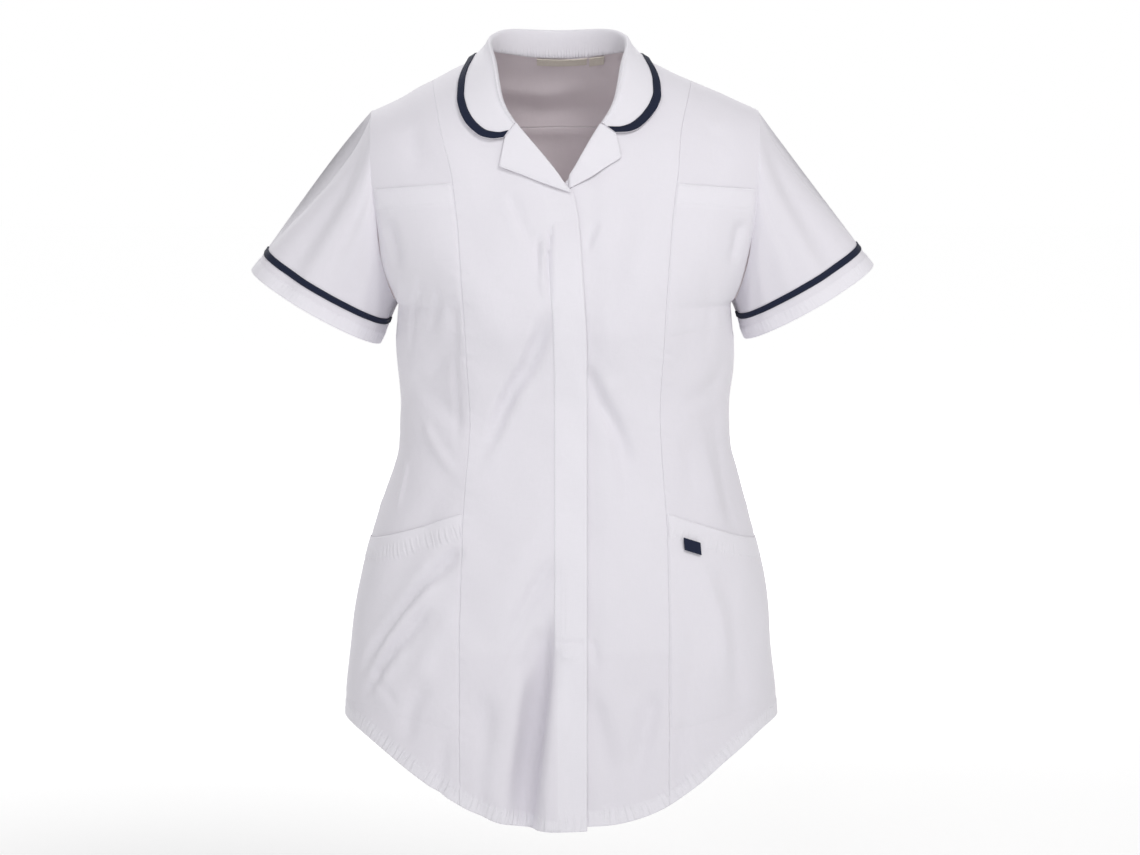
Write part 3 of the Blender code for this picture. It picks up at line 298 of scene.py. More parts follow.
@dataclass(frozen=True)
class CutPlan:
    """The rows and seam lines that the panels share, as in the solids."""

    neck_break: float = -0.1155
    underarm: float = -0.236
    mouth_in: float = -0.4340
    mouth_out: float = -0.4690
    mouth_band: float = 0.0240
    princess_hip: float = 0.1000
    hip_side: float = 0.1930
    hem_depth: float = 0.014
    yoke_seam: float = -0.061
    neck_back: float = math.radians(33.6)
    fly_width: float = 0.0315
    fly_margin: float = 0.0120
    wrap_depth: float = 0.0021
    wrap_edge: float = 0.0215
    wrap_free: float = 0.0420
    princess: tuple = (
        (-0.740, 0.1010), (-0.640, 0.1012), (-0.540, 0.1010), (-0.440, 0.0985), (-0.339, 0.0920),
        (-0.296, 0.0935), (-0.243, 0.0965), (-0.180, 0.1005), (-0.117, 0.1070), (-0.055, 0.1180),
        (-0.010, 0.1290),
    )
    armhole_front: tuple = (
        (-0.236, 0.1650), (-0.230, 0.1682), (-0.216, 0.1727), (-0.188, 0.1790), (-0.155, 0.1835),
        (-0.120, 0.1872), (-0.080, 0.1895), (-0.044, 0.1910),
    )
    armhole_back: tuple = (
        (-0.236, 0.1650), (-0.230, 0.1680), (-0.216, 0.1720), (-0.188, 0.1770), (-0.155, 0.1810),
        (-0.120, 0.1845), (-0.080, 0.1890), (-0.044, 0.1910),
    )
    neckline: tuple = (
        (-0.1155, 0.0000), (-0.0950, 0.0160), (-0.0750, 0.0308), (-0.0583, 0.0430), (-0.0470, 0.0503),
        (-0.0365, 0.0548), (-0.0220, 0.0580), (0.0000, 0.0620), (0.0130, 0.0665),
    )
    wrap_line: tuple = (
        (-0.740, 0.0215), (-0.300, 0.0215), (-0.257, 0.0205), (-0.213, 0.0178), (-0.160, 0.0140),
        (-0.127, 0.0085), (-0.1155, 0.0000),
    )
    under_line: tuple = (
        (-0.740, -0.0060), (-0.300, -0.0060), (-0.160, -0.0060), (-0.127, -0.0045), (-0.1155, 0.0000),
    )
    over_shoulder: tuple = (0.0, 0.2, 0.4, 0.55, 0.66, 0.77, 0.88, 1.0)

    def __post_init__(self) -> None:
        """Makes the rows of the front and the back, and the seams' curves."""
        over = [Row("over", share) for share in self.over_shoulder]
        chest = [Row("slant", self.neck_break, -0.1230)]
        chest += [Row("flat", z) for z in (-0.133, -0.152, -0.174, -0.197, -0.216, -0.230, self.underarm)]
        waist = [Row("flat", -0.247), Row("slant", -0.265, -0.254)]
        waist += [Row("flat", z) for z in (-0.292, -0.322, -0.352, -0.382, -0.410)]
        mouth = [Row("slant", self.mouth_in, self.mouth_out)]
        mouth += [Row("slant", self.mouth_in - self.mouth_band, self.mouth_out - self.mouth_band)]
        skirt = [Row("skirt", share) for share in (0.15, 0.34, 0.54, 0.74)]
        bottom = [Row("slant", -0.645, TORSO.hem_side + 0.016)]
        hem = [Row("hem", self.hem_depth + 0.001), Row("hem", self.hem_depth), Row("hem", 0.0)]
        below = chest + waist + mouth + skirt + bottom + hem
        back = [Row("flat", self.yoke_seam), Row("flat", -0.078), Row("flat", TORSO.round_from)]
        made = {
            "front_rows": over + below, "back_rows": back + below, "mouth": mouth, "bottom": bottom[0],
            "breast_top": len(over), "breast_bottom": len(over + chest) + 1,
            "hip_top": len(over + chest + waist), "hip_bottom": len(over + chest + waist + mouth + skirt),
            "underarm_row": len(over + chest) - 1, "princess_x": Curve(self.princess),
            "arm_front_x": Curve(self.armhole_front), "arm_back_x": Curve(self.armhole_back),
            "neck_x": Curve(self.neckline), "wrap_x": Curve(self.wrap_line),
            "under_x": Curve(self.under_line),
        }
        for name, value in made.items():
            object.__setattr__(self, name, value)

    def row_level(self, row: Row, theta: np.ndarray) -> np.ndarray:
        """Level of a row at each angle."""
        theta = np.asarray(theta, float)
        if row.kind == "over":
            return np.full_like(theta, row.at)
        if row.kind == "hem":
            return TORSO.level_of(0.2, TORSO.hem_height(theta) + row.at)
        if row.kind == "skirt":
            top = self.row_level(self.mouth[1], theta)
            return top + (self.row_level(self.bottom, theta) - top) * (row.at / 0.9)
        z = np.full_like(theta, row.at)
        x = TORSO.half_width(z) * TORSO.ring_share(theta)
        for _ in range(4):
            x = TORSO.half_width(z) * TORSO.ring_share(theta)
            if row.kind == "slant":
                share = np.clip((np.abs(x) - self.princess_hip) / (self.hip_side - self.princess_hip), 0.0, 1.0)
                z = np.where(theta < 0, row.side, row.at + (row.side - row.at) * share)
        return TORSO.level_of(x, z)

    def level(self, rows: list[Row], place: np.ndarray, theta: np.ndarray) -> np.ndarray:
        """Level at a place between rows, such as 2.5 for halfway from row 2 to row 3.

        Args:
            rows: the rows of one panel.
            place: places along the rows, of the same shape as theta.
            theta: angles round the torso.

        Returns:
            The level at each place and angle.
        """
        low = np.clip(np.floor(place).astype(int), 0, len(rows) - 2)
        share = place - low
        levels = np.stack([self.row_level(row, theta) for row in rows])
        first = np.take_along_axis(levels, low[None], axis=0)[0]
        second = np.take_along_axis(levels, (low + 1)[None], axis=0)[0]
        return first * (1 - share) + second * share

    def meet(self, rows: list[Row], place: np.ndarray, line: Callable, side: int, back: bool) -> np.ndarray:
        """Angles at which places down a panel meet a seam line, given by its distance from the centre."""
        theta = np.full_like(place, math.pi / 4)
        for _ in range(12):
            sheet = -theta if back else theta
            level = self.level(rows, place, sheet)
            z = TORSO.height_of(TORSO.x_at(sheet, level), level)
            theta = TORSO.angle_at(side * line(z), z)
        return -theta if back else theta

    def outer(self, rows: list[Row], place: np.ndarray, side: int, back: bool) -> np.ndarray:
        """Angles of a panel's outer edge: the armhole, and below it the side seam."""
        line = self.arm_back_x if back else self.arm_front_x
        armhole = self.meet(rows, place, line, side, back)
        seam = (0.0 if side > 0 else math.pi) * (-1 if back else 1)
        last = next(i for i, row in enumerate(rows) if row == Row("flat", self.underarm))
        return np.where(place >= last, seam, armhole)

    def closing(self, place: np.ndarray, side: int) -> np.ndarray:
        """Angles of a centre front's inner edge: the neckline, then the edge that wraps over or under."""
        wrap = self.wrap_x if side < 0 else self.under_x
        return self.meet(
            self.front_rows, place, lambda z: np.where(z > self.neck_break, side * self.neck_x(z), wrap(z)), 1, False
        )

    def fly(self, place: np.ndarray) -> np.ndarray:
        """Angles of the fly band's stitched line on the right front."""
        theta = self.closing(place, -1)
        level = self.level(self.front_rows, place, theta)
        x = TORSO.x_at(theta, level)
        z = TORSO.height_of(x, level)
        margin = self.fly_margin + (self.fly_width - self.fly_margin) * smoothstep(-0.10, -0.19, z)
        return TORSO.angle_at(x - margin, z)


PLAN = CutPlan()


@dataclass(frozen=True)
class Crease:
    """One crease of the worn cloth, along a path of (distance from the centre, height) points.

    The depth is above 0 for a ridge and below 0 for a trough. A lean of 1 or -1 turns the
    whole of it into a step that rises on one side and sinks on the other.
    """

    path: tuple
    width: float
    depth: float
    lean: float = 0.0
    spread: float = 1.0
    fade_in: float = 0.25
    fade_out: float = 0.35
    back: bool = False

    def line(self, steps: int = 14) -> np.ndarray:
        """Points of the crease on the torso, evenly spaced along a smooth line."""
        knots = np.array(self.path, float)
        places = np.linspace(0, len(knots) - 1, steps)
        x = Curve(list(enumerate(knots[:, 0])))(places)
        z = Curve(list(enumerate(knots[:, 1])))(places)
        theta = TORSO.angle_at(x, z)
        return TORSO.point(-theta if self.back else theta, TORSO.level_of(x, z))

    def push(self, points: np.ndarray, normals: np.ndarray) -> np.ndarray:
        """How far the crease moves each of a flat list of points along its normal.

        Args:
            points: points on the torso's surface.
            normals: the directions out of the cloth there.

        Returns:
            One distance for each point.
        """
        line = self.line()
        reach = 3.2 * self.width * max(self.spread, 1.0)
        low, high = line.min(axis=0) - reach, line.max(axis=0) + reach
        near = np.nonzero(np.all((points > low) & (points < high), axis=1))[0]
        moved = np.zeros(len(points))
        if len(near) == 0:
            return moved
        best = np.full(len(near), np.inf)
        along = np.zeros(len(near))
        across = np.zeros(len(near))
        for k in range(len(line) - 1):
            step = line[k + 1] - line[k]
            away = points[near] - line[k]
            share = np.clip(away @ step / (step @ step), 0.0, 1.0)
            gap = away - share[:, None] * step
            distance = np.linalg.norm(gap, axis=1)
            closer = distance < best
            best = np.where(closer, distance, best)
            along = np.where(closer, (k + share) / (len(line) - 1), along)
            side = np.sum(gap * np.cross(normals[near], step), axis=1)
            across = np.where(closer, np.sign(side), across)
        width = self.width * (1 + (self.spread - 1) * along)
        ends = smoothstep(-0.02, self.fade_in, along) * (1 - smoothstep(1 - self.fade_out, 1.02, along))
        scaled = best / width
        bell = np.exp(-scaled * scaled)
        step_form = across * scaled * bell * 2.33
        moved[near] = self.depth * ends * ((1 - abs(self.lean)) * bell + self.lean * step_form)
        return moved


@dataclass(frozen=True)
class Drape:
    """How the worn cloth leaves the plain torso form: creases, seam puckers and soft waves."""

    creases: tuple
    gain: float = 1.75
    pucker_rise: float = 0.00045
    pucker_reach: float = 0.0075
    wave_rise: float = 0.00065

    @staticmethod
    def uneven(place: np.ndarray, length: float, shift: float) -> np.ndarray:
        """An uneven wave of about the given length, between about -1 and 1."""
        turn = 2 * math.pi / length
        wave = np.sin(turn * place + shift) + 0.55 * np.sin(1.63 * turn * place + 2.1 * shift)
        slow = 0.62 + 0.38 * np.sin(0.23 * turn * place + 3.3 * shift)
        return wave * slow / 1.55

    def push(self, points: np.ndarray, normals: np.ndarray) -> np.ndarray:
        """How far the cloth stands out from the plain form at each point of a grid."""
        flat = points.reshape(-1, 3)
        flat_normals = normals.reshape(-1, 3)
        total = np.zeros(len(flat))
        for crease in self.creases:
            total += self.gain * crease.push(flat, flat_normals)
        x, y, z = flat.T
        front = y < 0
        seam = np.where(z < TORSO.round_from, PLAN.princess_x(z), 9.0)
        gap = np.abs(np.abs(x) - seam)
        pucker = self.uneven(z + 0.4 * x, 0.0165, 1.3) * np.exp(-((gap / self.pucker_reach) ** 2)) * front
        side = np.abs(y) / 1.0
        low = smoothstep(-0.25, -0.27, z)
        pucker += self.uneven(z, 0.021, 0.4) * np.exp(-((side / self.pucker_reach) ** 2)) * low
        total += self.pucker_rise * pucker
        wave = np.sin(61 * x + 23 * z + 1.0) * np.sin(47 * z - 31 * y)
        wave += 0.7 * np.sin(93 * x - 41 * z + 50 * y) + 0.5 * np.sin(70 * z + 120 * x + 2.0)
        total += self.wave_rise * wave
        return total.reshape(points.shape[:-1])


def front(*path: tuple, width: float, depth: float, **more: float) -> Crease:
    """A crease on the front."""
    return Crease(path, width, depth, **more)


def back(*path: tuple, width: float, depth: float, **more: float) -> Crease:
    """A crease on the back."""
    return Crease(path, width, depth, back=True, **more)


# Creases seen in the photo, from the wearer's right to the left, then plain ones on the back
CREASES = (
    # The deep fold beside the fly and its lighter neighbours
    front((-0.0140, -0.522), (-0.0170, -0.5645), (-0.0237, -0.622), (-0.0330, -0.692), (-0.0345, -0.737),
          width=0.0050, depth=-0.0072, spread=1.5, lean=-0.2, fade_in=0.3, fade_out=0.02),
    front((-0.0200, -0.540), (-0.0300, -0.622), (-0.0410, -0.700), (-0.0440, -0.737),
          width=0.0110, depth=-0.0060, spread=1.3, fade_in=0.35, fade_out=0.02),
    front((-0.0030, -0.575), (-0.0100, -0.640), (-0.0140, -0.700), (-0.0140, -0.737),
          width=0.0100, depth=0.0046, fade_in=0.35, fade_out=0.02),
    front((-0.010, -0.5555), (0.004, -0.5545), (0.019, -0.5535), width=0.0021, depth=-0.0010, fade_in=0.1, fade_out=0.1),
    front((-0.006, -0.5640), (0.005, -0.5685), (0.016, -0.5610), width=0.0035, depth=0.0008),
    front((-0.038, -0.560), (-0.050, -0.650), (-0.056, -0.737), width=0.012, depth=0.0026, fade_out=0.05),
    front((-0.072, -0.600), (-0.082, -0.737), width=0.010, depth=-0.0020, fade_out=0.05),
    # The long slanted folds from the fly to the waist
    front((-0.016, -0.226), (-0.034, -0.275), (-0.060, -0.322), (-0.084, -0.385),
          width=0.0090, depth=-0.0046, lean=0.45, fade_out=0.25),
    front((-0.030, -0.300), (-0.062, -0.350), (-0.078, -0.400), width=0.011, depth=0.0024),
    front((-0.058, -0.122), (-0.044, -0.155), (-0.026, -0.195), width=0.0075, depth=-0.0014, lean=0.5),
    front((-0.0135, -0.150), (-0.0165, -0.185), (-0.0135, -0.240), width=0.0030, depth=-0.0024, lean=0.3),
    front((-0.0195, -0.165), (-0.0215, -0.195), (-0.0190, -0.226), width=0.0035, depth=0.0017),
    front((-0.0240, -0.160), (-0.0255, -0.188), (-0.0215, -0.212), width=0.0030, depth=-0.0013),
    front((-0.011, -0.470), (-0.038, -0.516), (-0.068, -0.575), width=0.0085, depth=-0.0034, lean=0.3),
    front((-0.010, -0.430), (-0.045, -0.478), (-0.070, -0.520), width=0.013, depth=0.0014),
    front((-0.018, -0.540), (-0.052, -0.596), width=0.010, depth=-0.0015),
    # Waist and side on the wearer's right
    front((-0.1045, -0.225), (-0.1065, -0.300), (-0.1030, -0.375), width=0.0050, depth=-0.0016),
    front((-0.139, -0.343), (-0.122, -0.372), (-0.098, -0.402), width=0.0070, depth=0.0016, lean=-0.35),
    front((-0.150, -0.310), (-0.120, -0.330), (-0.096, -0.360), width=0.010, depth=-0.0017),
    front((-0.154, -0.385), (-0.166, -0.440), width=0.0050, depth=0.0013, lean=0.3),
    front((-0.139, -0.200), (-0.150, -0.245), (-0.153, -0.285), width=0.0065, depth=-0.0017, lean=0.35),
    front((-0.123, -0.215), (-0.134, -0.262), width=0.0065, depth=-0.0013, lean=0.3),
    front((-0.108, -0.222), (-0.113, -0.300), width=0.0075, depth=-0.0012),
    front((-0.160, -0.205), (-0.164, -0.270), width=0.007, depth=0.0012),
    front((-0.103, -0.255), (-0.132, -0.300), (-0.158, -0.322), width=0.010, depth=-0.0016),
    # Hip pocket on the wearer's right
    front((-0.100, -0.462), (-0.138, -0.502), (-0.178, -0.560), (-0.200, -0.600),
          width=0.0085, depth=-0.0050, lean=0.25, fade_in=0.12),
    front((-0.118, -0.492), (-0.158, -0.540), (-0.192, -0.592), width=0.0075, depth=0.0036, fade_in=0.2),
    front((-0.128, -0.520), (-0.164, -0.566), (-0.196, -0.622), width=0.0075, depth=-0.0040, lean=0.2),
    front((-0.150, -0.560), (-0.186, -0.615), width=0.008, depth=0.0018),
    front((-0.102, -0.520), (-0.126, -0.560), (-0.150, -0.620), width=0.011, depth=0.0016),
    front((-0.188, -0.588), (-0.172, -0.612), (-0.156, -0.632), width=0.0070, depth=-0.0010, lean=0.4),
    front((-0.130, -0.590), (-0.148, -0.628), (-0.152, -0.662), width=0.010, depth=-0.0022),
    front((-0.112, -0.650), (-0.120, -0.690), (-0.122, -0.712), width=0.0055, depth=-0.0018, fade_out=0.05),
    # The wearer's left front
    front((0.023, -0.286), (0.038, -0.322), (0.056, -0.356), (0.074, -0.404),
          width=0.0078, depth=-0.0027, lean=-0.4, fade_in=0.15),
    front((0.040, -0.300), (0.068, -0.352), width=0.010, depth=0.0014),
    front((0.047, -0.356), (0.058, -0.396), (0.064, -0.430), width=0.0075, depth=-0.0016),
    front((0.060, -0.130), (0.050, -0.180), (0.046, -0.230), width=0.014, depth=-0.0012),
    front((0.022, -0.182), (0.028, -0.162), (0.036, -0.148), width=0.004, depth=-0.0016, lean=0.4),
    front((0.090, -0.600), (0.080, -0.640), (0.068, -0.690), width=0.0090, depth=-0.0024),
    front((0.066, -0.600), (0.056, -0.680), width=0.011, depth=0.0016),
    front((0.028, -0.600), (0.038, -0.650), (0.048, -0.722), width=0.0085, depth=-0.0024, spread=1.5, fade_out=0.05),
    front((0.024, -0.550), (0.030, -0.580), width=0.0045, depth=-0.0012, lean=0.5),
    # Waist, side and hip pocket on the wearer's left
    front((0.158, -0.298), (0.138, -0.318), (0.108, -0.330), width=0.012, depth=-0.0013),
    front((0.150, -0.330), (0.160, -0.400), (0.172, -0.470), width=0.0110, depth=-0.0011, lean=-0.3),
    front((0.132, -0.345), (0.150, -0.440), width=0.0095, depth=0.0010),
    front((0.116, -0.355), (0.126, -0.430), width=0.0095, depth=-0.0008),
    front((0.136, -0.190), (0.142, -0.240), (0.140, -0.300), width=0.0120, depth=-0.0008, lean=-0.3),
    front((0.116, -0.205), (0.122, -0.300), width=0.0120, depth=-0.0006),
    front((0.158, -0.490), (0.170, -0.560), (0.176, -0.650), width=0.0120, depth=-0.0013),
    front((0.130, -0.480), (0.152, -0.540), (0.160, -0.600), width=0.010, depth=0.0018),
    front((0.112, -0.490), (0.124, -0.570), (0.120, -0.650), width=0.012, depth=-0.0011),
    front((0.116, -0.630), (0.112, -0.700), width=0.0070, depth=-0.0016, fade_out=0.05),
    # Chest and shoulders
    front((-0.150, -0.062), (-0.140, -0.105), width=0.012, depth=-0.0010),
    front((0.150, -0.060), (0.142, -0.105), width=0.012, depth=-0.0010),
    front((-0.172, -0.150), (-0.158, -0.200), width=0.0080, depth=-0.0022),
    front((0.172, -0.150), (0.160, -0.198), width=0.0080, depth=-0.0022),
    # Waist darts and plain folds on the back
    back((-0.072, -0.235), (-0.066, -0.330), (-0.070, -0.455), width=0.0022, depth=-0.0013, fade_in=0.1, fade_out=0.1),
    back((0.072, -0.235), (0.066, -0.330), (0.070, -0.455), width=0.0022, depth=-0.0013, fade_in=0.1, fade_out=0.1),
    back((-0.150, -0.200), (-0.110, -0.270), (-0.070, -0.330), width=0.0090, depth=-0.0028, lean=0.3),
    back((0.152, -0.195), (0.115, -0.262), (0.072, -0.325), width=0.0090, depth=-0.0030, lean=-0.3),
    back((-0.128, -0.292), (-0.085, -0.326), (-0.030, -0.338), width=0.0085, depth=-0.0026, lean=0.3),
    back((0.132, -0.306), (0.090, -0.338), (0.020, -0.352), width=0.0080, depth=-0.0026, lean=-0.2),
    back((-0.050, -0.362), (0.000, -0.372), (0.048, -0.366), width=0.0075, depth=-0.0020, lean=0.2),
    back((-0.110, -0.345), (-0.092, -0.385), (-0.088, -0.430), width=0.0085, depth=0.0016),
    back((0.108, -0.350), (0.096, -0.400), (0.100, -0.450), width=0.0085, depth=0.0016),
    back((-0.085, -0.018), (-0.020, -0.026), (0.060, -0.016), width=0.0110, depth=-0.0016),
    back((-0.060, -0.040), (0.010, -0.046), (0.085, -0.036), width=0.0100, depth=0.0018),
    back((-0.070, -0.062), (0.000, -0.066), (0.070, -0.058), width=0.0080, depth=-0.0012),
    back((-0.090, -0.420), (-0.100, -0.560), (-0.096, -0.730), width=0.0110, depth=-0.0030, fade_out=0.04),
    back((-0.045, -0.460), (-0.040, -0.600), (-0.030, -0.730), width=0.0110, depth=0.0024, fade_out=0.04),
    back((0.020, -0.500), (0.026, -0.620), (0.034, -0.730), width=0.0100, depth=-0.0026, fade_out=0.04),
    back((0.095, -0.430), (0.108, -0.570), (0.110, -0.728), width=0.0120, depth=-0.0032, fade_out=0.04),
    back((0.150, -0.420), (0.168, -0.520), (0.175, -0.640), width=0.0100, depth=-0.0024),
    back((-0.150, -0.430), (-0.172, -0.540), (-0.178, -0.650), width=0.0100, depth=-0.0024),
    back((-0.060, -0.120), (-0.080, -0.190), width=0.0140, depth=-0.0014),
    back((0.060, -0.115), (0.084, -0.190), width=0.0140, depth=-0.0016),
    back((-0.165, -0.120), (-0.150, -0.190), width=0.0090, depth=-0.0024),
    back((0.166, -0.120), (0.150, -0.190), width=0.0090, depth=-0.0026),
)
DRAPE = Drape(CREASES)


def spread(length: float, cell: float, support: float = 0.0014) -> np.ndarray:
    """Shares from 0 to 1 along a length, in even steps with one more line close to each end."""
    steps = max(2, math.ceil(length / cell))
    inner = np.linspace(0, 1, steps + 1)[1:-1]
    close = support / length
    return np.concatenate([[0.0, close], inner, [1 - close, 1.0]])


@dataclass
class Grid:
    """Outer points of a piece of cloth in rows and columns, with the directions out of it.

    layers is 0 where the cloth is single and 1 where it is turned or faced. The same values paint shade: single cloth
    is coloured greyer, as if the shaded inside showed through, and some values between stand only for that painted
    shade. gather is how much a stitched band is drawn up. A ring's columns join up.
    """

    points: np.ndarray
    normals: np.ndarray
    ring: bool = False
    layers: np.ndarray = None
    gather: np.ndarray = None
    run: np.ndarray = None

    def __post_init__(self) -> None:
        """Gives single, smooth cloth where nothing else is said."""
        if self.layers is None:
            self.layers = np.zeros(self.points.shape[:2])
        if self.gather is None:
            self.gather = np.zeros(self.points.shape[:2])
        if self.run is None:
            self.run = np.zeros(self.points.shape[:2])

    def along(self, row: int) -> np.ndarray:
        """Distance along the top row (0) or the bottom row (-1), square across from each point."""
        edge = self.points[row]
        steps = np.linalg.norm(np.diff(edge, axis=0), axis=-1)
        length = np.concatenate([[0.0], np.cumsum(steps)])
        way = unit(np.gradient(edge, axis=0))
        return length + np.sum((self.points - edge) * way, axis=-1)

    def across(self) -> np.ndarray:
        """Length along each row from its first column."""
        steps = np.linalg.norm(np.diff(self.points, axis=1), axis=-1)
        return np.concatenate([np.zeros((len(steps), 1)), np.cumsum(steps, axis=1)], axis=1)

    def down(self) -> np.ndarray:
        """Length along each column from its first row."""
        steps = np.linalg.norm(np.diff(self.points, axis=0), axis=-1)
        return np.concatenate([np.zeros((1, steps.shape[1])), np.cumsum(steps, axis=0)], axis=0)

    def area(self) -> float:
        """Area of the cloth in square metres."""
        p = self.points
        if self.ring:
            p = np.concatenate([p, p[:, :1]], axis=1)
        first = p[1:, 1:] - p[:-1, :-1]
        second = p[1:, :-1] - p[:-1, 1:]
        return float(np.linalg.norm(np.cross(first, second), axis=-1).sum() / 2)

    def flat(self) -> tuple[float, float, float]:
        """Width and length of the rectangle that the piece is cut from, and its flat area."""
        rows = self.across()[:, -1]
        if self.ring:
            rows = rows + np.linalg.norm(self.points[:, 0] - self.points[:, -1], axis=-1)
        width, length = float(rows.max()), float(self.down()[-1].max())
        return width, length, min(max(self.area(), 0.31 * width * length), width * length)

    def seam(self, edge: Edge, inset: float, start: float = 0.0, end: float = 1.0, lift: float = 0.0001) -> np.ndarray:
        """A line of points along an edge, at a distance inside it.

        Args:
            edge: the edge that the line follows.
            inset: its distance from that edge.
            start: share of the edge's length where the line starts.
            end: share of the edge's length where it ends.
            lift: how far it stands out of the cloth.

        Returns:
            The line's points.
        """
        points = self.points + self.normals * lift
        if edge in (Edge.LEFT, Edge.RIGHT):
            length = self.across()
            if edge is Edge.RIGHT:
                length = length[:, -1:] - length
            lines, lengths = points, length
        else:
            length = self.down()
            if edge is Edge.BOTTOM:
                length = length[-1:] - length
            lines, lengths = points.transpose(1, 0, 2), length.T
        count = len(lines)
        chosen = range(int(start * (count - 1)), int(end * (count - 1)) + 1)
        path = []
        for k in chosen:
            order = np.argsort(lengths[k])
            path.append([np.interp(inset, lengths[k][order], lines[k][order, axis]) for axis in range(3)])
        return np.array(path)


class Shell:
    """Turns a grid into a closed piece of cloth with a rounded rim."""

    def __init__(self, grid: Grid, thickness: float) -> None:
        """Works out the piece's corners and faces.

        Args:
            grid: the outer face.
            thickness: how thick the cloth is.
        """
        self.grid = grid
        rows, columns = grid.points.shape[:2]
        outer = TORSO.sway(grid.points)
        inner = TORSO.sway(grid.points - grid.normals * thickness)
        index = np.arange(rows * columns).reshape(rows, columns)
        wrapped = np.concatenate([index, index[:, :1]], axis=1) if grid.ring else index
        if grid.ring:
            loops = [wrapped[-1], wrapped[0, ::-1]]
        else:
            loops = [np.concatenate([index[:, 0], index[-1, 1:], index[-2::-1, -1], index[0, -2::-1]])]
        a, b = wrapped[:-1, :-1], wrapped[1:, :-1]
        c, d = wrapped[1:, 1:], wrapped[:-1, 1:]
        faces = [np.stack([a, b, c, d], axis=-1).reshape(-1, 4)]
        layer = rows * columns
        faces.append(np.stack([a, d, c, b], axis=-1).reshape(-1, 4) + layer)
        corners = [outer.reshape(-1, 3), inner.reshape(-1, 3)]
        sources = [index.ravel(), index.ravel()]
        offset = 2 * layer
        flat_outer, flat_inner = corners
        for loop in loops:
            ring = loop[:-1]
            near = self.inside_of(ring, rows, columns, grid.ring)
            out = unit(flat_outer[ring] - flat_outer[near])
            middle = (flat_outer[ring] + flat_inner[ring]) / 2 + out * thickness * 0.32
            corners.append(middle)
            sources.append(ring)
            rim = np.arange(len(ring)) + offset
            p, q = ring, np.roll(ring, -1)
            p_rim, q_rim = rim, np.roll(rim, -1)
            faces.append(np.stack([q, p, p_rim, q_rim], axis=-1))
            faces.append(np.stack([q_rim, p_rim, p + layer, q + layer], axis=-1))
            offset += len(ring)
        self.corners = np.concatenate(corners)
        self.faces = np.concatenate(faces)
        self.sources = np.concatenate(sources)
        middle_face = self.faces[len(faces[0]) // 2]
        p0, p1, p2 = self.corners[middle_face[:3]]
        facing = np.cross(p1 - p0, p2 - p1) @ grid.normals.reshape(-1, 3)[middle_face[0]]
        if facing < 0:
            self.faces = self.faces[:, ::-1]

    @staticmethod
    def inside_of(ring: np.ndarray, rows: int, columns: int, closed: bool) -> np.ndarray:
        """For each point on the rim, the grid point just inside it."""
        i, j = ring // columns, ring % columns
        inner_i = np.clip(i, 1, rows - 2)
        inner_j = j if closed else np.clip(j, 1, columns - 2)
        return inner_i * columns + inner_j

    def coordinates(self) -> np.ndarray:
        """The cloth's own coordinates in metres, across and down, for each grid point."""
        across, down = self.grid.across(), self.grid.down()
        middle = across.shape[1] // 2
        across = across - across[:, middle:middle + 1]
        return np.stack([across, -down], axis=-1).reshape(-1, 2)

    def build(self, name: str, material: bpy.types.Material) -> bpy.types.Object:
        """Makes the object, with its cloth coordinates, its doubling and painted shade, and its gathers as attributes.

        Args:
            name: the piece's name.
            material: its finish.

        Returns:
            The linked object.
        """
        mesh = bpy.data.meshes.new(name)
        mesh.from_pydata(self.corners.tolist(), [], self.faces.tolist())
        mesh.shade_smooth()
        cloth = self.coordinates()[self.sources]
        corner_uv = cloth[self.faces]
        if self.grid.ring:
            columns = self.grid.points.shape[1]
            column = self.sources[self.faces] % columns
            wraps = (column.max(axis=1) - column.min(axis=1) > columns / 2)[:, None] & (column < columns / 2)
            row = self.sources[self.faces] // columns
            closing = np.linalg.norm(self.grid.points[:, 0] - self.grid.points[:, -1], axis=-1)
            around = self.grid.across()[:, -1] + closing
            corner_uv[..., 0] += np.where(wraps, around[row], 0.0)
        mesh.uv_layers.new(name="cloth").data.foreach_set("uv", corner_uv.astype(np.float32).ravel())
        kept = {"layers": self.grid.layers, "gather": self.grid.gather, "run": self.grid.run}
        kept = {label: values.ravel()[self.sources] for label, values in kept.items()}
        inner = np.zeros(len(self.corners))
        inner[self.grid.layers.size:2 * self.grid.layers.size] = 1.0
        kept["inside"] = inner
        for label, values in kept.items():
            attribute = mesh.attributes.new(label, "FLOAT", "POINT")
            attribute.data.foreach_set("value", values.astype(np.float32))
        mesh.materials.append(material)
        piece = bpy.data.objects.new(name, mesh)
        bpy.context.scene.collection.objects.link(piece)
        return piece


@dataclass(frozen=True)
class Cloth:
    """The sizes of the cloth and of its seams and turned edges."""

    thickness: float = 0.0009
    band: float = 0.0005
    cell: float = 0.0030
    seam: float = 0.00024
    hem: float = 0.0140
    hem_raise: float = 0.0005


CLOTH = Cloth()


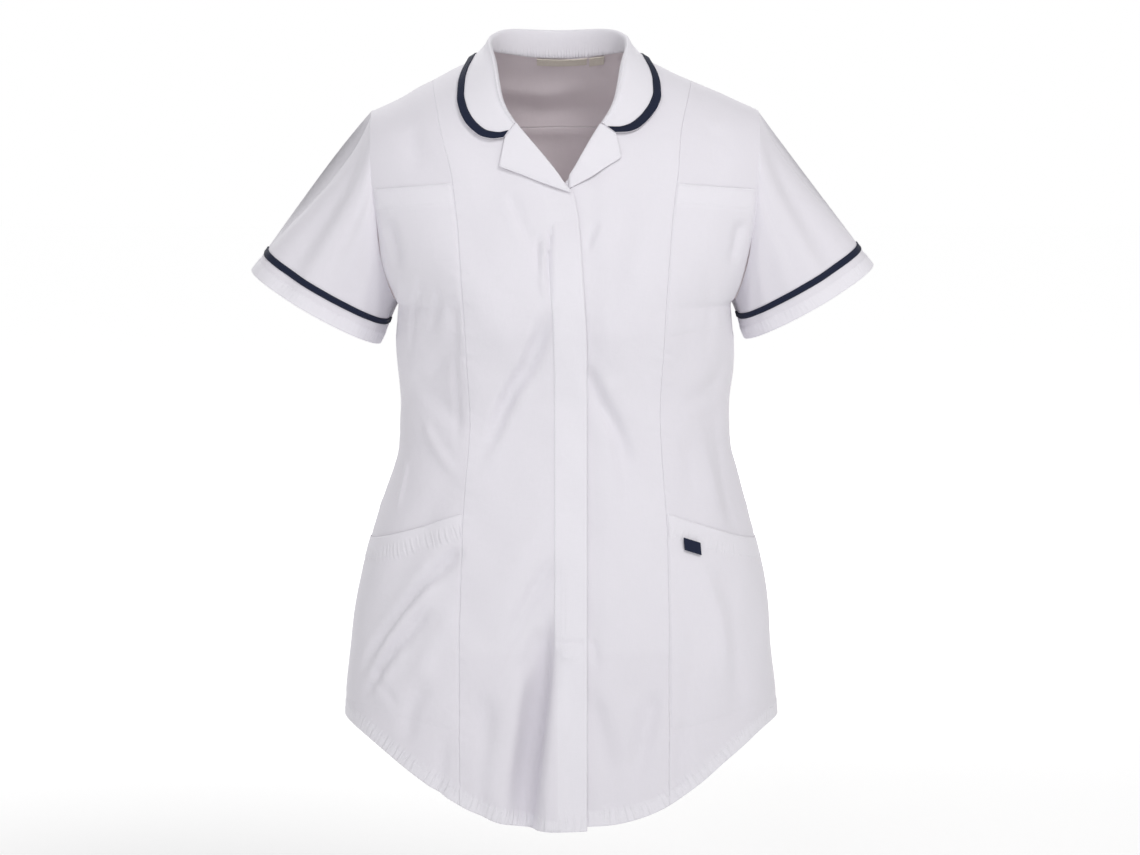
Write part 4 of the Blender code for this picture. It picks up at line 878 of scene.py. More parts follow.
@dataclass(frozen=True)
class Panel:
    """One panel of the torso: its rows and the angles of its two edges down them."""

    rows: list
    first: Callable[[np.ndarray], np.ndarray]
    last: Callable[[np.ndarray], np.ndarray]

    def places(self, start: float, end: float, cell: float) -> np.ndarray:
        """Places from one row to another, about a cell apart."""
        rows = np.arange(len(self.rows), dtype=float)
        middle = (self.first(rows) + self.last(rows)) / 2
        points = TORSO.point(middle, PLAN.level(self.rows, rows, middle))
        down = np.concatenate([[0.0], np.cumsum(np.linalg.norm(np.diff(points, axis=0), axis=-1))])
        low, high = np.interp([start, end], rows, down)
        return np.interp(low + spread(high - low, cell) * (high - low), down, rows)

    def cut(self, start: float = 0.0, end: float = math.inf, left: float = 0.0, right: float = 1.0,
            cell: float = CLOTH.cell) -> Grid:
        """Cuts a piece from the panel, with the drape of the worn cloth.

        Args:
            start: the row it starts at.
            end: the row it ends at.
            left: share of the way across where it starts.
            right: share of the way across where it ends.
            cell: how far apart its points are.

        Returns:
            The piece's outer face.
        """
        places = self.places(start, min(end, len(self.rows) - 1.0), cell)
        a, b = self.first(places)[:, None], self.last(places)[:, None]
        ends = TORSO.point(a + (b - a) * [left, right], PLAN.level(self.rows, np.repeat(places[:, None], 2, 1), a + (b - a) * [left, right]))
        width = float(np.linalg.norm(ends[:, 1] - ends[:, 0], axis=-1).max())
        shares = left + (right - left) * spread(width * 1.1, cell)
        theta = a + (b - a) * shares
        level = PLAN.level(self.rows, np.repeat(places[:, None], len(shares), 1), theta)
        return draped(Grid(TORSO.point(theta, level), TORSO.normal(theta, level)))


def draped(grid: Grid) -> Grid:
    """The same grid with the drape of the worn cloth."""
    push = DRAPE.push(grid.points, grid.normals)
    grid.points = grid.points + grid.normals * push[..., None]
    return grid


def turn_hem(grid: Grid, depth: float = CLOTH.hem, rise: float = CLOTH.hem_raise, gathered: float = 1.0) -> Grid:
    """Raises the turned band along a grid's bottom edge and marks it as double and gathered."""
    down = grid.down()
    above = down[-1:] - down
    band = 1 - smoothstep(depth - 0.0008, depth + 0.0008, above)
    grid.points = grid.points + grid.normals * (rise * band)[..., None]
    grid.layers = np.maximum(grid.layers, band)
    grid.run = grid.along(-1)
    grid.gather = gathered * (1 - smoothstep(depth * 0.85, depth + 0.006, above))
    return grid


def draw_in(grid: Grid, *edges: Edge, by: float = CLOTH.seam) -> Grid:
    """Moves the named edges of a grid inwards."""
    pairs = {
        Edge.TOP: (np.s_[0], np.s_[1]), Edge.BOTTOM: (np.s_[-1], np.s_[-2]),
        Edge.LEFT: (np.s_[:, 0], np.s_[:, 1]), Edge.RIGHT: (np.s_[:, -1], np.s_[:, -2]),
    }
    for edge in edges:
        rim, inner = pairs[edge]
        grid.points[rim] = grid.points[rim] + unit(grid.points[inner] - grid.points[rim]) * by
    return grid


def out_of(points: np.ndarray, ring: bool = False) -> np.ndarray:
    """Directions straight out of a grid of points."""
    down = np.gradient(points, axis=0)
    if ring:
        around = np.roll(points, -1, axis=1) - np.roll(points, 1, axis=1)
    else:
        around = np.gradient(points, axis=1)
    return unit(np.cross(down, around))


def through(points: np.ndarray, counts: list[int]) -> np.ndarray:
    """More points along the first axis of a grid, on smooth lines through the given ones.

    Args:
        points: the given points.
        counts: the number of steps between each two of them.

    Returns:
        The finer grid.
    """
    span = np.linalg.norm(np.diff(points, axis=0), axis=-1)
    span = span.reshape(len(span), -1).mean(axis=1)
    places = np.concatenate([[0.0], np.cumsum(span)])
    wanted = [np.linspace(places[k], places[k + 1], n, endpoint=False) for k, n in enumerate(counts)]
    wanted = np.concatenate(wanted + [places[-1:]])
    flat = points.reshape(len(points), -1)
    finer = np.stack([Curve(list(zip(places, column)))(wanted) for column in flat.T], axis=-1)
    return finer.reshape((len(wanted),) + points.shape[1:])


@dataclass
class Worn:
    """What is common to every sub-assembly: its finish, its name and how it joins the frame."""

    finishes: "Finishes"

    def add(self, name: str, node: str, grid: Grid, slot: str, thickness: float = CLOTH.thickness,
            rests_on: tuple = (), held: str = "draped") -> bpy.types.Object:
        """Args:
            name: the piece's name.
            node: the solid that it stands for.
            grid: its outer face.
            slot: the finish's slot in the record.
            thickness: how thick it is.
            rests_on: what it lies on or hangs from; not used.
            held: how it is held; not used.

        Returns:
            The piece.
        """
        piece = Shell(grid, thickness).build(name, self.finishes.of(slot))
        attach(piece, "root")
        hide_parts(node)
        width, length, area = grid.flat()
        width, length = max(width, 0.0101), max(length, 0.0101)
        min(max(area, 0.301 * width * length), width * length)
        LOG.info("%s: %d faces, %.0f x %.0f mm", name, len(piece.data.polygons), width * 1e3, length * 1e3)
        return piece


@dataclass
class Back(Worn):
    """The back below the yoke, the yoke and the sleeves' armholes."""

    yoke_rows: int = 5

    def edge_angles(self, place: np.ndarray, side: int) -> np.ndarray:
        """Angles of the back's outer edge."""
        return PLAN.outer(PLAN.back_rows, place, side, True)

    def yoke_at(self, share: np.ndarray, down: np.ndarray) -> tuple[np.ndarray, np.ndarray]:
        """Angles and levels on the yoke.

        Args:
            share: place across, from -1 at the left armhole to 1 at the right one.
            down: place from the neckline to the yoke's seam.

        Returns:
            Angles and levels.
        """
        top_row, seam_row = np.array([0.0]), np.array([0.0])
        top_edge = -PLAN.meet(PLAN.front_rows, top_row, PLAN.arm_back_x, 1, True)
        seam_edge = -PLAN.meet(PLAN.back_rows, seam_row, PLAN.arm_back_x, 1, True)
        top_theta = -(math.pi / 2 + share * (math.pi / 2 - top_edge))
        seam_theta = -(math.pi / 2 + share * (math.pi / 2 - seam_edge))
        x = np.minimum(np.abs(TORSO.x_at(top_theta, 0.0)), TORSO.neck_half)
        arc = np.sqrt(np.maximum(0.0, 1 - (x / TORSO.neck_half) ** 2))
        top = PLAN.neck_back / (math.pi / 2) * arc
        end = PLAN.row_level(PLAN.back_rows[0], seam_theta)
        return top_theta + (seam_theta - top_theta) * down, top + (end - top) * down

    def neck_corner(self) -> float:
        """Share of the yoke's width at the neck point."""
        top_edge = -PLAN.meet(PLAN.front_rows, np.array([0.0]), PLAN.arm_back_x, 1, True)[0]
        neck = float(TORSO.angle_at(TORSO.neck_half, 0.0))
        return (math.pi / 2 - neck) / (math.pi / 2 - top_edge)

    def yoke_grid(self) -> Grid:
        """The yoke's outer face."""
        corner = self.neck_corner()
        half = np.concatenate([
            corner * np.sin(np.linspace(0, math.pi / 2, 30)),
            corner + (1 - corner) * spread(0.130, CLOTH.cell)[1:],
        ])
        shares = np.concatenate([-half[:0:-1], half])
        downs = spread(0.085, CLOTH.cell)
        theta, level = self.yoke_at(shares[None, :], downs[:, None])
        return draped(Grid(TORSO.point(theta, level), TORSO.normal(theta, level)))

    def armhole(self, side: Side, front_places: np.ndarray, downs: np.ndarray,
                back_places: np.ndarray) -> tuple[np.ndarray, np.ndarray]:
        """Points round an armhole and the directions out of the cloth there.

        Args:
            side: the wearer's side.
            front_places: places down the front's rows.
            downs: places down the yoke.
            back_places: places down the back's rows.

        Returns:
            Points and directions, from the shoulder down the front and up the back.
        """
        sign = side.value
        front_theta = PLAN.outer(PLAN.front_rows, front_places, sign, False)
        front_level = PLAN.level(PLAN.front_rows, front_places, front_theta)
        yoke_theta, yoke_level = self.yoke_at(np.full_like(downs, -sign), downs)
        back_theta = self.edge_angles(back_places, sign)
        back_level = PLAN.level(PLAN.back_rows, back_places, back_theta)
        theta = np.concatenate([front_theta, back_theta[::-1], yoke_theta[::-1]])
        level = np.concatenate([front_level, back_level[::-1], yoke_level[::-1]])
        return TORSO.point(theta, level), TORSO.normal(theta, level)

    def build(self) -> None:
        """Makes the yoke and the back."""
        yoke = draw_in(self.yoke_grid(), Edge.TOP, Edge.BOTTOM, Edge.LEFT, Edge.RIGHT)
        self.add("back_yoke_cloth", "back_yoke", yoke, "white_poplin", rests_on=("collar",))
        panel = Panel(PLAN.back_rows, lambda p: self.edge_angles(p, 1), lambda p: self.edge_angles(p, -1))
        grid = turn_hem(draw_in(panel.cut(cell=0.0034), Edge.TOP, Edge.LEFT, Edge.RIGHT))
        self.add("back_cloth", "back", grid, "white_poplin", rests_on=("back_yoke_cloth",))
        self.yoke, self.back = yoke, grid


@dataclass
class Front(Worn):
    """One half of the front: the centre, the side, its pockets and, on the right, the fly."""

    side: Side = Side.RIGHT
    gape: float = 0.0010
    mouth_band: float = 0.022
    sunk: float = 0.0007
    shorter: float = 0.0040

    def princess(self, place: np.ndarray) -> np.ndarray:
        """Angles of the princess seam."""
        return PLAN.meet(PLAN.front_rows, place, PLAN.princess_x, self.side.value, False)

    def outer(self, place: np.ndarray) -> np.ndarray:
        """Angles of the armhole and side seam."""
        return PLAN.outer(PLAN.front_rows, place, self.side.value, False)

    def closing(self, place: np.ndarray) -> np.ndarray:
        """Angles of the neckline and closing edge."""
        return PLAN.closing(place, self.side.value)

    def wrapped_under(self, grid: Grid) -> Grid:
        """Lets the left front pass under the right one at the closing."""
        x, z = grid.points[..., 0], grid.points[..., 2]
        under = 1 - smoothstep(PLAN.wrap_edge + 0.002, PLAN.wrap_free, x)
        low = smoothstep(-0.0583, PLAN.neck_break, z)
        grid.points = grid.points - grid.normals * (PLAN.wrap_depth * under * low)[..., None]
        short = self.shorter * smoothstep(-0.640, -0.700, z) * (1 - smoothstep(0.015, 0.095, x))
        grid.points = grid.points + short[..., None] * np.array([0.0, 0.0, 1.0])
        return grid

    def fly(self) -> None:
        """Makes the fly's stitched band on the right front."""
        panel = Panel(PLAN.front_rows, self.closing, PLAN.fly)
        band = panel.cut(start=PLAN.breast_top + 0.15, left=0.02, cell=0.0026)
        above = band.down()[-1:] - band.down()
        turned = 1 - smoothstep(CLOTH.hem - 0.0008, CLOTH.hem + 0.0008, above)
        z = band.points[..., 2]
        loose = smoothstep(-0.552, -0.566, z)
        lift = -0.0004 + (CLOTH.band + 0.0005) * smoothstep(0.0, 0.085, band.down()) + CLOTH.hem_raise * turned
        inner = band.across()[:, -1:] - band.across()
        lift = lift - 0.0010 * loose * (1 - smoothstep(0.0, 0.010, inner))
        band.points = band.points + band.normals * lift[..., None]
        band.layers = smoothstep(0.0, 0.12, band.down())
        band.run = band.along(-1)
        band.gather = 1 - smoothstep(0.012, 0.020, above)
        self.band = band
        self.add("fly_band", "placket", band, "white_poplin", CLOTH.band, ("front_centre_right_cloth",), "laid")

    def pocket(self, panel: Panel, name: str, node: str, rows: tuple, shares: tuple, on: str,
               gathered: float, gape: float) -> Grid:
        """Makes a patch pocket whose folded top stands a little open.

        Args:
            panel: the side front that it is sewn on.
            name: the piece's name.
            node: its solid.
            rows: its first and last row.
            shares: its first and last share of the way across.
            on: the piece that it lies on.
            gathered: how much its top band is drawn up.
            gape: how far its mouth stands open.

        Returns:
            Its outer face.
        """
        grid = panel.cut(rows[0], rows[1], *shares, cell=0.0026)
        down, across = grid.down(), grid.across()
        share = across / across[:, -1:]
        open_top = np.sin(math.pi * share) ** 1.2 * (1 - smoothstep(0.0, 0.045, down))
        band = 1 - smoothstep(self.mouth_band - 0.0008, self.mouth_band + 0.0008, down)
        rim = np.minimum(np.minimum(across, across[:, -1:] - across), down[-1:] - down)
        rounded = 0.15 + 0.85 * smoothstep(0.0, 0.004, rim)
        lift = 0.0001 + CLOTH.band * rounded + gape * open_top + 0.0002 * band
        lift = lift - self.sunk * (1 - smoothstep(0.0, 0.010, down[-1:] - down))
        grid.points = grid.points + grid.normals * lift[..., None]
        # Painted shade: the pocket's lighter tone fades out over its lower part, as if the shaded inside showed through
        # there.
        painted_shade_fade = 1 - smoothstep(0.55, 1.0, down / down[-1:])
        grid.layers = 0.30 * painted_shade_fade + 0.35 * band
        grid.run = grid.along(0)
        near = smoothstep(0.006, 0.014, down) * (1 - smoothstep(self.mouth_band - 0.001, self.mouth_band + 0.006, down))
        grid.gather = gathered * near
        self.add(name, node, grid, "white_poplin", CLOTH.band, (on,), "laid")
        return grid

    def build(self) -> None:
        """Makes the half's pieces."""
        word, sign = self.side.word, self.side.value
        centre = Panel(PLAN.front_rows, self.closing, self.princess).cut(cell=0.0027)
        if self.side is Side.LEFT:
            centre = self.wrapped_under(centre)
        centre = turn_hem(draw_in(centre, Edge.TOP, Edge.RIGHT))
        facing = 0.5 * (1 - smoothstep(0.030, 0.0315, centre.across()))
        # Painted shade: the centre front is lighter above about z -0.565 and greyer below, as if a shadow inside showed
        # through the cloth.
        painted_shade_step = smoothstep(-0.570, -0.560, centre.points[..., 2]) * 0.35
        centre.layers = np.maximum(centre.layers, np.maximum(facing, painted_shade_step))
        self.add(f"front_centre_{word}_cloth", f"front_centre_{word}", centre, "white_poplin")
        panel = Panel(PLAN.front_rows, self.princess, self.outer)
        side = turn_hem(draw_in(panel.cut(cell=0.0028), Edge.TOP, Edge.LEFT, Edge.RIGHT))
        on = f"front_side_{word}_cloth"
        self.add(on, f"front_side_{word}", side, "white_poplin")
        self.centre, self.side_grid = centre, side
        self.breast = self.pocket(
            panel, f"breast_pocket_{word}_cloth", f"breast_pocket_{word}",
            (PLAN.breast_top, PLAN.breast_bottom), (0.012, 0.955), on, 0.0, 0.3 * self.gape,
        )
        self.hip = self.pocket(
            panel, f"hip_pocket_{word}_cloth", f"hip_pocket_{word}",
            (PLAN.hip_top, PLAN.hip_bottom), (0.008, 0.992), on,
            1.0 if self.side is Side.RIGHT else 0.5, self.gape * (0.9 if self.side is Side.RIGHT else 0.6),
        )
        if self.side is Side.RIGHT:
            self.fly()
        LOG.info("front %s done, side %d", word, sign)


@dataclass(frozen=True)
class SleeveFold:
    """One crease of a sleeve, by its angle from the top towards the front, and its ends."""

    angle: float
    start: float
    end: float
    width: float
    rise: float
    turn: float = 0.0


@dataclass
class Sleeve(Worn):
    """One short sleeve with its braid."""

    side: Side = Side.RIGHT
    back: Back = None
    cuff_out: tuple = (0.2475, 0.2425)
    cuff_height: tuple = (-0.2390, -0.2340)
    tilt: float = math.radians(30)
    half_width: float = 0.0735
    half_depth: float = 0.0560
    front_drop: float = 0.0055
    start_lift: float = 0.0006
    lap: float = 0.0007
    flare_top: float = 0.12
    head: tuple = (0.32, 0.18)
    flare_side: float = 0.35
    handle: float = 0.30
    hem: float = 0.0125
    braid_from: float = 0.0200
    braid_width: float = 0.0069
    braid_thickness: float = 0.0008
    braid_rows: int = 5
    folds: tuple = (
        SleeveFold(math.radians(55), 0.10, 0.80, 0.30, -0.0030),
        SleeveFold(math.radians(115), 0.25, 0.95, 0.30, -0.0030),
        SleeveFold(math.radians(-65), 0.10, 0.90, 0.30, -0.0032),
        SleeveFold(math.radians(-120), 0.25, 0.95, 0.30, -0.0028),
        SleeveFold(math.radians(88), 0.02, 0.70, 0.120, -0.0018, 0.20),
        SleeveFold(math.radians(68), 0.10, 0.85, 0.140, 0.0012, 0.35),
        SleeveFold(math.radians(50), 0.10, 1.00, 0.200, -0.0024, 0.40),
        SleeveFold(math.radians(20), 0.20, 0.95, 0.160, 0.0007, 0.25),
        SleeveFold(math.radians(-80), 0.05, 0.80, 0.130, -0.0020, 0.15),
        SleeveFold(math.radians(-42), 0.20, 0.85, 0.150, -0.0012, 0.20),
        SleeveFold(math.radians(-100), 0.20, 0.95, 0.140, 0.0010, 0.10),
        SleeveFold(math.radians(140), 0.15, 0.85, 0.140, -0.0014, 0.10),
        SleeveFold(math.radians(-145), 0.15, 0.85, 0.140, -0.0014, -0.10),
    )

    def ring(self) -> tuple[np.ndarray, np.ndarray, np.ndarray]:
        """Points round the armhole, the directions out of them, and the ring's middle."""
        last = PLAN.underarm_row
        back_last = last - len(PLAN.over_shoulder) + 3
        coarse, _ = self.back.armhole(
            self.side, np.arange(last + 1.0), np.arange(1, 6) / 5, np.arange(1.0, back_last)
        )
        points, normals = self.back.armhole(
            self.side, np.linspace(0, last, 240), np.linspace(0.02, 0.99, 50),
            np.linspace(0, back_last - 0.02, 160),
        )
        closed = np.concatenate([points, points[:1]])
        length = np.concatenate([[0.0], np.cumsum(np.linalg.norm(np.diff(closed, axis=0), axis=1))])
        count = round(length[-1] / CLOTH.cell)
        wanted = np.linspace(0, length[-1], count, endpoint=False)
        both = np.concatenate([closed, np.concatenate([normals, normals[:1]])], axis=1)
        even = np.stack([np.interp(wanted, length, column) for column in both.T], axis=-1)
        return even[:, :3], unit(even[:, 3:]), coarse.mean(axis=0)

    def grid(self) -> Grid:
        """The sleeve's outer face from the armhole to the hem."""
        sign = self.side.value
        pick = 0 if self.side is Side.RIGHT else 1
        ring, normals, middle = self.ring()
        tilt_sin, tilt_cos = math.sin(self.tilt), math.cos(self.tilt)
        axis = np.array([sign * tilt_sin, 0.0, -tilt_cos])
        across = np.array([sign * tilt_cos, 0.0, tilt_sin])
        ahead = np.array([0.0, -1.0, 0.0])
        centre = np.array([sign * self.cuff_out[pick], 0.0, self.cuff_height[pick]])
        tangent = np.roll(ring, -1, axis=0) - np.roll(ring, 1, axis=0)
        away = unit(np.cross(tangent, normals) * sign)
        angle = np.arctan2(-(ring[:, 1] - middle[1]) * 1.25, ring[:, 2] - middle[2])[:, None]
        cos, sin = np.cos(angle), np.sin(angle)
        top, under = np.maximum(0.0, cos), np.maximum(0.0, -cos)
        end = centre + across * self.half_width * cos + ahead * self.half_depth * sin
        end = end + axis * self.front_drop * sin
        laps = smoothstep(0.25, 0.75, under)
        start = ring + away * self.start_lift * (1 - laps) + normals * self.lap * laps
        flare = self.head[pick] * top + self.flare_side * (1 - top) * (1 - under)
        length = np.linalg.norm(end - start, axis=1, keepdims=True)
        first = start + unit(axis + away * flare) * length * self.handle
        second = end - unit(axis + across * self.flare_top * top) * length * self.handle
        edge = self.braid_from + self.braid_width
        body = spread(0.165, CLOTH.cell)[:-1]
        near_hem = np.concatenate([
            np.linspace(edge, self.braid_from, self.braid_rows),
            np.linspace(self.braid_from, self.hem + 0.0006, 6)[1:],
            np.linspace(self.hem - 0.0006, 0.0006, 6), [0.0],
        ])
        t = np.concatenate([
            body[:, None] * (1 - edge / length.T), 1 - near_hem[:, None] / length.T
        ])[..., None]
        points = start * (1 - t) ** 3 + first * 3 * t * (1 - t) ** 2 + second * 3 * t * t * (1 - t) + end * t ** 3
        rise = np.zeros(t.shape[:2])
        for fold in self.folds:
            gap = angle[None, :, 0] - fold.angle - fold.turn * (t[..., 0] - 0.5)
            gap = (gap + math.pi) % (2 * math.pi) - math.pi
            ends = smoothstep(fold.start - 0.1, fold.start + 0.25, t[..., 0])
            ends = ends * (1 - smoothstep(fold.end - 0.15, fold.end + 0.25, t[..., 0]))
            rise += fold.rise * ends * np.exp(-((gap / fold.width) ** 2))
        points = points + unit(across * cos + ahead * sin) * rise[..., None]
        out = out_of(points, ring=True)
        facing = np.sum(out * unit(across * cos + ahead * sin), axis=-1)
        out = out if facing.mean() > 0 else -out
        out[0] = unit(normals * (1 - laps) + out[0] * laps)
        return Grid(points, out, ring=True)

    def build(self) -> None:
        """Makes the sleeve and its braid."""
        word = self.side.word
        grid = turn_hem(self.grid(), self.hem, gathered=0.3)
        self.add(f"sleeve_{word}_cloth", f"sleeve_{word}", grid, "white_poplin",
                 rests_on=(f"front_side_{word}_cloth", "back_cloth"))
        self.cloth = grid
        row_above = (grid.down()[-1:] - grid.down()).mean(axis=1)
        first = int(np.argmin(np.abs(row_above - self.braid_from - self.braid_width)))
        rows = slice(first, first + self.braid_rows)
        points, normals = grid.points[rows], grid.normals[rows]
        braid = Grid(points + normals * (self.braid_thickness + 0.00015), normals, ring=True)
        self.add(f"sleeve_braid_{word}_tape", f"sleeve_braid_{word}", braid, "navy_braid",
                 self.braid_thickness, (f"sleeve_{word}_cloth",), "laid")
        self.tape = braid


@dataclass(frozen=True)
class Station:
    """One section of the collar, as in the solids: its seam, its roll and its outer edge."""

    seam_over: float
    rise: float
    lean: float
    edge_x: float
    edge_over: float
    right_drop: float = 0.0


@dataclass
class Collar(Worn):
    """The collar with its navy braid, and the two lapels."""

    edge_lift: float = 0.0026
    foot_back: float = 0.0011
    foot_in: float = 0.0003
    foot_down: float = 0.0012
    stand: tuple = (0.0030, 0.0200)
    cloth_low: float = 0.0100
    roll_radius: float = 0.0021
    braid: float = 0.0078
    braid_thickness: float = 0.0008
    thickness: float = 0.0011
    stations: tuple = (
        Station(70.8, 0.0022, 0.0006, 0.0535, 74.6, 2.4), Station(68.5, 0.0023, 0.0008, 0.0630, 74.0, 3.2),
        Station(65.0, 0.0025, 0.0010, 0.0730, 72.0, 3.8), Station(61.0, 0.0028, 0.0012, 0.0820, 67.8, 4.0),
        Station(56.0, 0.0031, 0.0014, 0.0900, 61.5, 4.0), Station(50.0, 0.0034, 0.0014, 0.0948, 55.5, 3.0),
        Station(42.0, 0.0038, 0.0014, 0.0975, 48.0, 1.5), Station(33.0, 0.0048, 0.0012, 0.0970, 38.5),
        Station(23.0, 0.0068, 0.0008, 0.0945, 28.5), Station(12.0, 0.0090, 0.0000, 0.0895, 16.0),
        Station(0.8, 0.0125, -0.0012, 0.0860, 2.0), Station(-10.5, 0.0178, -0.0010, 0.0830, -13.0),
        Station(-20.2, 0.0225, 0.0005, 0.0790, -27.0), Station(-27.6, 0.0255, 0.0020, 0.0620, -37.0),
        Station(-32.1, 0.0268, 0.0030, 0.0340, -44.0), Station(-33.6, 0.0270, 0.0035, 0.0000, -46.0),
    )
    lapel_lift: float = 0.0022
    lapel_tuck: float = 0.0022
    lapel_columns: tuple = (0.0, 0.0, 0.12, 0.4, 0.7, 1.0)
    lapel_roll: tuple = (0.0016, 0.0006)
    lapel_foot: tuple = (0.0004, 0.0024)
    lapels: tuple = (
        ((-0.0613, 0.0530, -0.0752), (-0.0655, 0.0575, -0.0875), (-0.0715, 0.0618, -0.1003),
         (-0.0820, 0.0420, -0.1075), (-0.0945, 0.0200, -0.1163), (-0.1080, -0.0062, -0.1252)),
        ((-0.0613, 0.0540, -0.0699), (-0.0640, 0.0550, -0.0800), (-0.0700, 0.0556, -0.0918),
         (-0.0810, 0.0400, -0.1005), (-0.0940, 0.0250, -0.1100), (-0.1100, 0.0040, -0.1205)),
    )
    left_under: float = -0.0034

    def neck_distance(self, degrees: float) -> float:
        """Distance of the neckline from the centre, at an angle over the shoulder."""
        if degrees <= 0:
            share = math.radians(degrees) / PLAN.neck_back
            return TORSO.neck_half * math.sqrt(max(0.0, 1 - share * share))
        x = TORSO.neck_half
        for _ in range(20):
            x = float(PLAN.neck_x(TORSO.height_of(x, degrees / 90)))
        return x

    def over_shoulder(self, x: float, degrees: float) -> tuple[np.ndarray, np.ndarray]:
        """Point and direction on the torso, at a distance from the centre and an angle over the shoulder."""
        theta = float(TORSO.angle_at(x, 0.0)) * (-1 if degrees < 0 else 1)
        level = abs(degrees) / 90
        return TORSO.point(theta, level), TORSO.normal(theta, level)

    def section(self, station: Station, side: int) -> list[np.ndarray]:
        """Middle line of one section, from its seam over its roll to its edge."""
        up = np.array([0.0, 0.0, 1.0])
        seam_x = self.neck_distance(station.seam_over)
        seam, seam_normal = self.over_shoulder(side * seam_x, station.seam_over)
        edge_over = station.edge_over + (station.right_drop if side < 0 else 0.0)
        edge, edge_normal = self.over_shoulder(side * station.edge_x, edge_over)
        edge = edge + edge_normal * self.edge_lift
        outward = unit(np.array([edge[0] - seam[0], edge[1] - seam[1], 0.0]))
        stand = float(smoothstep(*self.stand, station.rise))
        rise_way = unit(seam_normal * (1 - stand) + up * stand)
        slope = unit(edge - seam)
        way = unit(slope * (1 - stand) + outward * stand)
        foot = seam - slope * self.foot_back + seam_normal * (0.0002 + 0.0010 * (1 - stand))
        foot = foot - outward * (self.foot_in + 0.0003 * stand) - up * self.foot_down * stand
        top = foot + rise_way * station.rise + way * station.lean
        radius = self.roll_radius * (0.55 + 0.45 * stand)
        inner_turn = top - rise_way * radius * 0.7
        outer_turn = top + way * radius * 2.0 - rise_way * radius * 0.7
        crest = top + way * radius + rise_way * radius * 0.3
        half = foot * 0.5 + inner_turn * 0.5 - outward * 0.0008 * stand
        line = [foot, half, inner_turn, crest, outer_turn]
        length = np.linalg.norm(edge - outer_turn)
        braid = max(0.15, 1 - self.braid / length)
        on_cloth = 1 - float(smoothstep(self.cloth_low, self.stand[1], station.rise))
        for share in (braid * 0.34, braid * 0.67, braid, 1.0):
            straight = outer_turn * (1 - share) + edge * share
            x = seam_x + (station.edge_x - seam_x) * share
            over = station.seam_over + (edge_over - station.seam_over) * share
            ground, ground_normal = self.over_shoulder(side * x, over)
            close = ground + ground_normal * (self.edge_lift + (1 - share) ** 2 * station.rise * 0.4)
            line.append(straight * (1 - on_cloth) + close * on_cloth)
        line[-1] = edge
        return line

    def collar_grid(self) -> tuple[Grid, Grid]:
        """The collar's outer face and its braid's."""
        right = [self.section(station, -1) for station in self.stations]
        left = [self.section(station, 1) for station in self.stations]
        sections = np.array(right + left[-2::-1])
        across = through(sections.transpose(1, 0, 2), [3, 3, 3, 3, 4, 4, 4, 5]).transpose(1, 0, 2)
        gaps = np.linalg.norm(np.diff(sections[:, -1], axis=0), axis=-1)
        points = through(across, [max(2, math.ceil(gap / 0.0026)) for gap in gaps])
        count = len(points)
        middle = points
        out = out_of(middle)
        shift = np.sin(np.linspace(0, 23, count))[:, None] * np.sin(np.linspace(0, 2.4, middle.shape[1]))[None, :]
        middle = middle + out * (0.00035 * shift)[..., None]
        collar = Grid(middle + out * self.thickness / 2, out)
        collar.layers = np.ones_like(collar.layers)
        collar.run = np.broadcast_to(collar.down()[:, -1:], collar.layers.shape).copy()
        collar.gather = 0.8 * (1 - smoothstep(0.002, 0.011, collar.across()))
        tape = Grid(collar.points[:, -6:] + out[:, -6:] * (self.braid_thickness + 0.00015), out[:, -6:])
        return collar, tape

    def lapel_grid(self, side: Side) -> Grid:
        """A lapel's outer face."""
        sign = side.value
        rows = []
        for roll_z, edge_x, edge_z in self.lapels[0 if side is Side.RIGHT else 1]:
            roll_x = sign * float(PLAN.neck_x(roll_z))
            shares = np.array(self.lapel_columns)
            x = roll_x + (sign * edge_x - roll_x) * shares
            z = roll_z + (edge_z - roll_z) * shares
            theta, level = TORSO.angle_at(x, z), TORSO.level_of(x, z)
            under = 1 - smoothstep(0.0, 0.016, sign * x) if side is Side.LEFT else np.zeros_like(x)
            lift = self.lapel_lift + self.left_under * under
            row = TORSO.point(theta, level) + TORSO.normal(theta, level) * lift[..., None]
            slope = unit(row[-1] - row[1])
            theta, level = TORSO.angle_at(roll_x, roll_z), TORSO.level_of(roll_x, roll_z)
            normal = TORSO.normal(theta, level)
            row[1] = row[1] - slope * self.lapel_roll[0] - normal * self.lapel_roll[1]
            row[0] = row[1] - slope * self.lapel_foot[0] - normal * self.lapel_foot[1]
            rows.append(row)
        tucked = [2 * a - b - self.lapel_tuck * TORSO.normal(0.5 * math.pi, 0.6) for a, b in zip(rows[0], rows[1])]
        stations = np.array([[0.55 * a + 0.45 * b for a, b in zip(rows[0], tucked)]] + rows)
        across = through(stations.transpose(1, 0, 2), [2, 3, 5, 6, 6]).transpose(1, 0, 2)
        steps = np.linspace(0, len(across) - 1, 40)
        low = np.minimum(steps.astype(int), len(across) - 2)
        share = (steps - low)[:, None, None]
        points = across[low] * (1 - share) + across[low + 1] * share
        out = out_of(points)
        out = out if out[..., 1].mean() < 0 else -out
        grid = Grid(points + out * self.thickness / 2, out)
        grid.layers = np.ones_like(grid.layers)
        return grid

    def build(self) -> None:
        """Makes the collar, its braid and the lapels."""
        self.cloth, self.tape = self.collar_grid()
        self.add("collar_cloth", "collar", self.cloth, "white_poplin", self.thickness, ("back_yoke_cloth",))
        self.add("collar_braid_tape", "collar_braid", self.tape, "navy_braid", self.braid_thickness,
                 ("collar_cloth",), "laid")
        self.lapel_cloths = {}
        for side in Side:
            grid = self.lapel_grid(side)
            self.lapel_cloths[side] = grid
            self.add(f"lapel_{side.word}_cloth", f"lapel_{side.word}", grid, "white_poplin", self.thickness,
                     (f"front_centre_{side.word}_cloth",), "folded")


